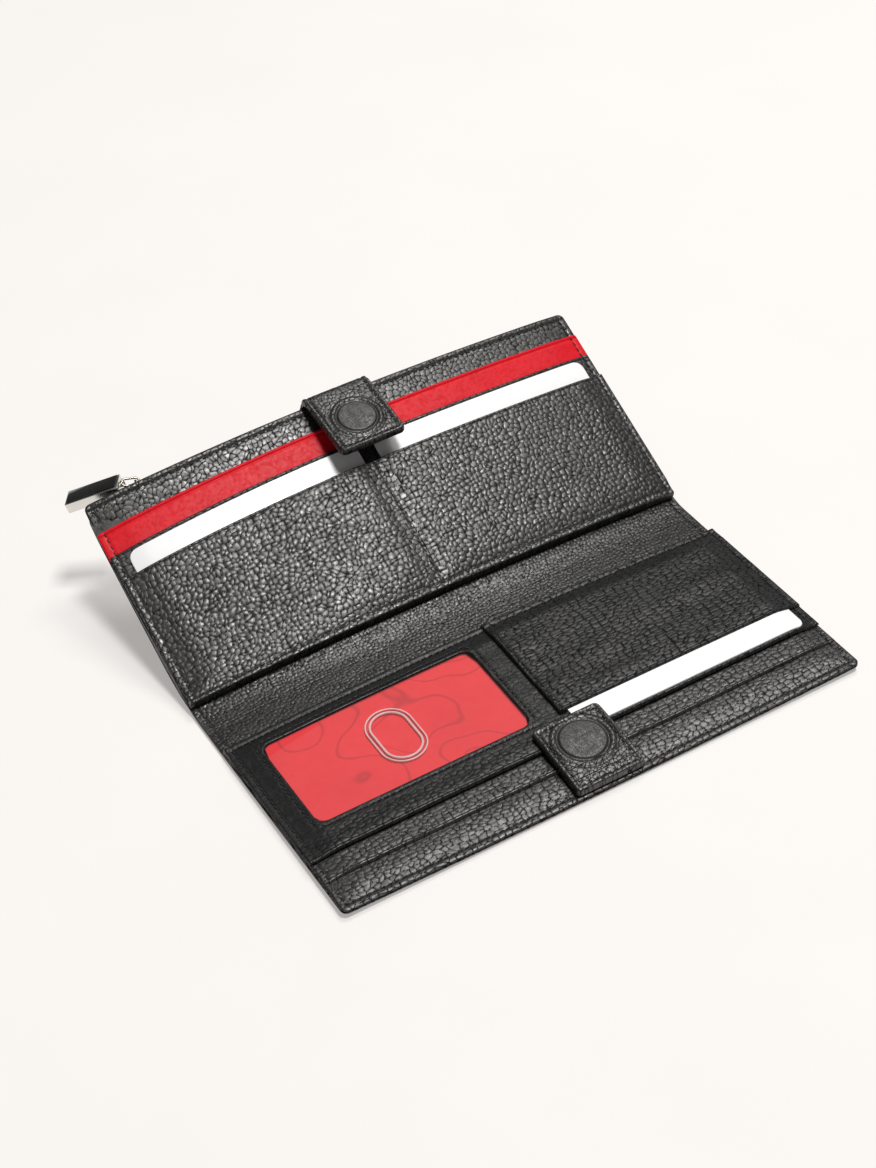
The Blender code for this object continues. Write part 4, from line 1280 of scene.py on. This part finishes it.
def build_lower_tab():
    left, right = TAB
    path = along([(0.7, 2.75), (7.0, 3.95), (20.0, 5.7), (28.3, 6.25)], lower_flat)
    anchor, root, length = 4.3, 8.6, path.length
    centre, size, thick = length - 11.2, 1.03, 2.4

    def whole_edge(x, v):
        return np.minimum(np.minimum(x - left, right - x), np.minimum(v, length - v))

    face, grain = tab_face(centre, size, whole_edge)
    build_tab("lower", path, length, root, centre, size, 0.0, thick, whole_edge)
    root_zone = zone("lower_panel", "lower_tab", -37.0, -32.6, 4.6)
    for name, start, stop, soft, radius, body, node in (
        ("anchor", 0.0, anchor, "lrb", 1.5, "lower_panel", "lower_tab_anchor"),
        ("root", anchor, root, "lr", 0, root_zone, ""),
    ):
        lay(body, node, f"lower_tab_{name}_leather", path, (left, start, right, stop), (0.0, thick), "coarse",
            step=FINE * 0.8, soft=soft, radii=(radius, radius, 0, 0), roll=0.7, grain=grain, relief=face,
            under=4)
    left, right = left + TAB_SEAM, right - TAB_SEAM
    for index, (v, z, node) in enumerate(((2.0, 2.36, "lower_anchor_thread"), (3.6, 2.42, ""))):
        sew("lower_panel", node, f"lower_anchor_seam_{index + 1}", path, [(left, v, z), (right, v, z)],
            **SMALL_STITCH)
    for name, x in (("left", left), ("right", right)):
        sew(root_zone, "", f"lower_root_seam_{name}", path, [(x, 4.5, 2.38), (x, 8.4, 2.38)], **SMALL_STITCH)


# ---------------------------------------------------------------- zip and puller

def block_mesh(size, bevel, segments):
    """Corners and faces of a box with rounded edges, centred on the origin."""
    mesh = bmesh.new()
    bmesh.ops.create_cube(mesh, size=1.0)
    bmesh.ops.scale(mesh, vec=Vector(size), verts=mesh.verts)
    bmesh.ops.bevel(mesh, geom=list(mesh.edges), offset=bevel, segments=segments, profile=0.5, affect="EDGES")
    mesh.verts.index_update()
    points = np.array([vert.co for vert in mesh.verts])
    faces = [[vert.index for vert in face.verts] for face in mesh.faces]
    mesh.free()
    return points, faces


def blocks(name, size, bevel, matrices, look, segments):
    """One piece made of the same rounded block at several places."""
    points, faces = block_mesh(size, bevel, segments)
    every = np.concatenate([points @ np.array(m.to_3x3()).T + np.array(m.translation) for m in matrices])
    runs = [np.array(face) + k * len(points) for k in range(len(matrices)) for face in faces]
    item, _ = make_mesh(name, every, [runs])
    item.data.materials.append(look)
    return item


def move(x, y, z):
    """A shift by millimetres."""
    return Matrix.Translation(Vector((x, y, z)))


def turn(degrees, axis):
    """A turn about one axis."""
    return Matrix.Rotation(math.radians(degrees), 4, axis)


PANEL = move(-WIDTH / 2, DEPTH / 2 + SPINE, HALF) @ turn(TILT_DEGREES, "X")
CHAIN_START, CHAIN_STOP, CHAIN_UP, CHAIN_HEIGHT = 11.0, 182.0, 79.75, -0.9
TOOTH_PITCH = 1.25
SLIDER_X, SLIDER_UP, SLIDER_RISE, SLIDER_SLOPE = 20.0, 83.0, 2.2482, 3.5564


def on_chain(x, rise=0.0):
    """A place on the zip's chain, which follows the upper panel's arch."""
    height = CHAIN_HEIGHT - HALF + BOW * (1 - side(x)) + rise - droop(x, CHAIN_UP)
    return PANEL @ move(x, CHAIN_UP, height)


def build_zip():
    for name, path in (("outer", [(74.0, 1.3), (78.2, 1.3), (79.0, 0.9), (79.12, -1.0)]),
                       ("inner", [(74.0, 1.75), (79.2, 1.75), (80.35, 1.3), (80.42, 0.0)])):
        way = along(path, lambda x, u, n: bowed(x, u, n - droop(x, u)))
        lay("upper_panel", f"zip_tape_{name}", f"zip_tape_{name}_cloth", way, (4, 0, WIDTH - 4, way.length),
            (0.0, 0.22), "tape", step=0.8, roll=0.1, under=2)
    teeth = []
    for k in range(int((CHAIN_STOP - CHAIN_START) / TOOTH_PITCH) * 2 + 1):
        x = CHAIN_START + 0.5 + k * TOOTH_PITCH / 2
        slope = -4 * BOW * (2 * x / WIDTH - 1) / WIDTH
        teeth.append(on_chain(x, 0.33 if k % 2 else -0.33) @ turn(-math.degrees(math.atan(slope)), "Y"))
    item = blocks("zip_teeth", (0.5, 1.05, 1.3), 0.12, teeth, LOOK["zip"], 1)
    keep(item, "upper_panel", "zip", "zip_chain")
    for name, x, lean in (("left", 9.2, -7.0), ("right", 183.8, 7.0)):
        place = on_chain(x) @ turn(lean, "Y")
        item = blocks(f"zip_{name}_stop", (2.8, 1.15, 2.0), 0.3, [place], LOOK["zip"], 3)
        keep(item, "upper_panel", "zip", f"zip_stop_{name}")
    build_slider()


def wire(name, points, radius, place, look, closed=False):
    """A wire through points of a frame that stands at place."""
    points = np.array([place @ Vector(point) for point in points])
    return tube(name, points, radius, look, sides=14, closed=closed)


def build_slider():
    """The zip's slider in a frame that stands at the puller's pivot, 2.15 mm from its roof's middle."""
    base = PANEL @ move(SLIDER_X, SLIDER_UP, CHAIN_HEIGHT - HALF + SLIDER_RISE) @ turn(-SLIDER_SLOPE, "Y")
    roof = -2.15
    plates = [base @ move(0, roof - 0.78, z) for z in (-2.1, 2.1)]
    item = blocks("slider_plates", (8.0, 2.15, 0.6), 0.28, plates, LOOK["zip"], 4)
    cap = blocks("slider_roof", (7.4, 0.6, 4.6), 0.28, [base @ move(0, roof, 0)], LOOK["zip"], 4)
    keep(join("zip_slider_body", [item, cap]), "zip_slider", "zip", "zip_slider")
    angles = [math.pi * k / 24 for k in range(25)]
    arch = [(0.0, -1.1 + 1.15 * math.sin(a), -1.0 * math.cos(a)) for a in angles]
    arch = [(0.0, -1.9, -1.0)] + arch + [(0.0, -1.9, 1.0)]
    keep(wire("zip_slider_bail", arch, 0.42, base, LOOK["zip"]), "zip_slider", "zip", "zip_bail")
    build_puller(base @ turn(180 - 17.0, "Z"))


def build_puller(swing):
    """The ring and the bar, turned from the slider's frame as they hang in the photo."""
    ring_length, ring_radius = 3.4, 1.27
    ring = []
    for middle, first in ((ring_length, -90.0), (0.0, 90.0)):
        for k in range(17):
            a = math.radians(first + 180 * k / 16)
            ring.append((middle + ring_radius * math.cos(a), ring_radius * math.sin(a), 0.0))
    item = wire("pull_ring_wire", ring, 0.4, swing, LOOK["zip"], closed=True)
    keep(item, "puller_link", "zip", "pull_link")
    bar = swing @ move(ring_length, 0, 0) @ turn(26.0, "Y") @ turn(35.0, "X")
    length = 19.5
    middle = 1.9 + length / 2
    case, inlay = [bar @ move(middle, 0, -0.225)], [bar @ move(middle, 0, 1.83)]
    item = blocks("pull_bar_case", (length, 8.2, 3.65), 0.22, case, LOOK["silver"], 3)
    round_once = np.linspace(0, 2 * math.pi, 28)[:-1]
    eye = [(1.25 + 0.95 * math.cos(a), 0.0, 0.95 * math.sin(a)) for a in round_once]
    loop = wire("pull_bar_eye", eye, 0.3, bar, LOOK["silver"], closed=True)
    keep(join("pull_bar_metal", [item, loop]), "puller", "silver", "pull_bar")
    item = blocks("pull_bar_enamel", (18.3, 7.0, 0.44), 0.14, inlay, LOOK["enamel"], 3)
    keep(item, "puller", "enamel", "pull_bar_inlay")


build_studio()
build_lower()
build_spine()
build_upper()
build_tabs()
build_zip()
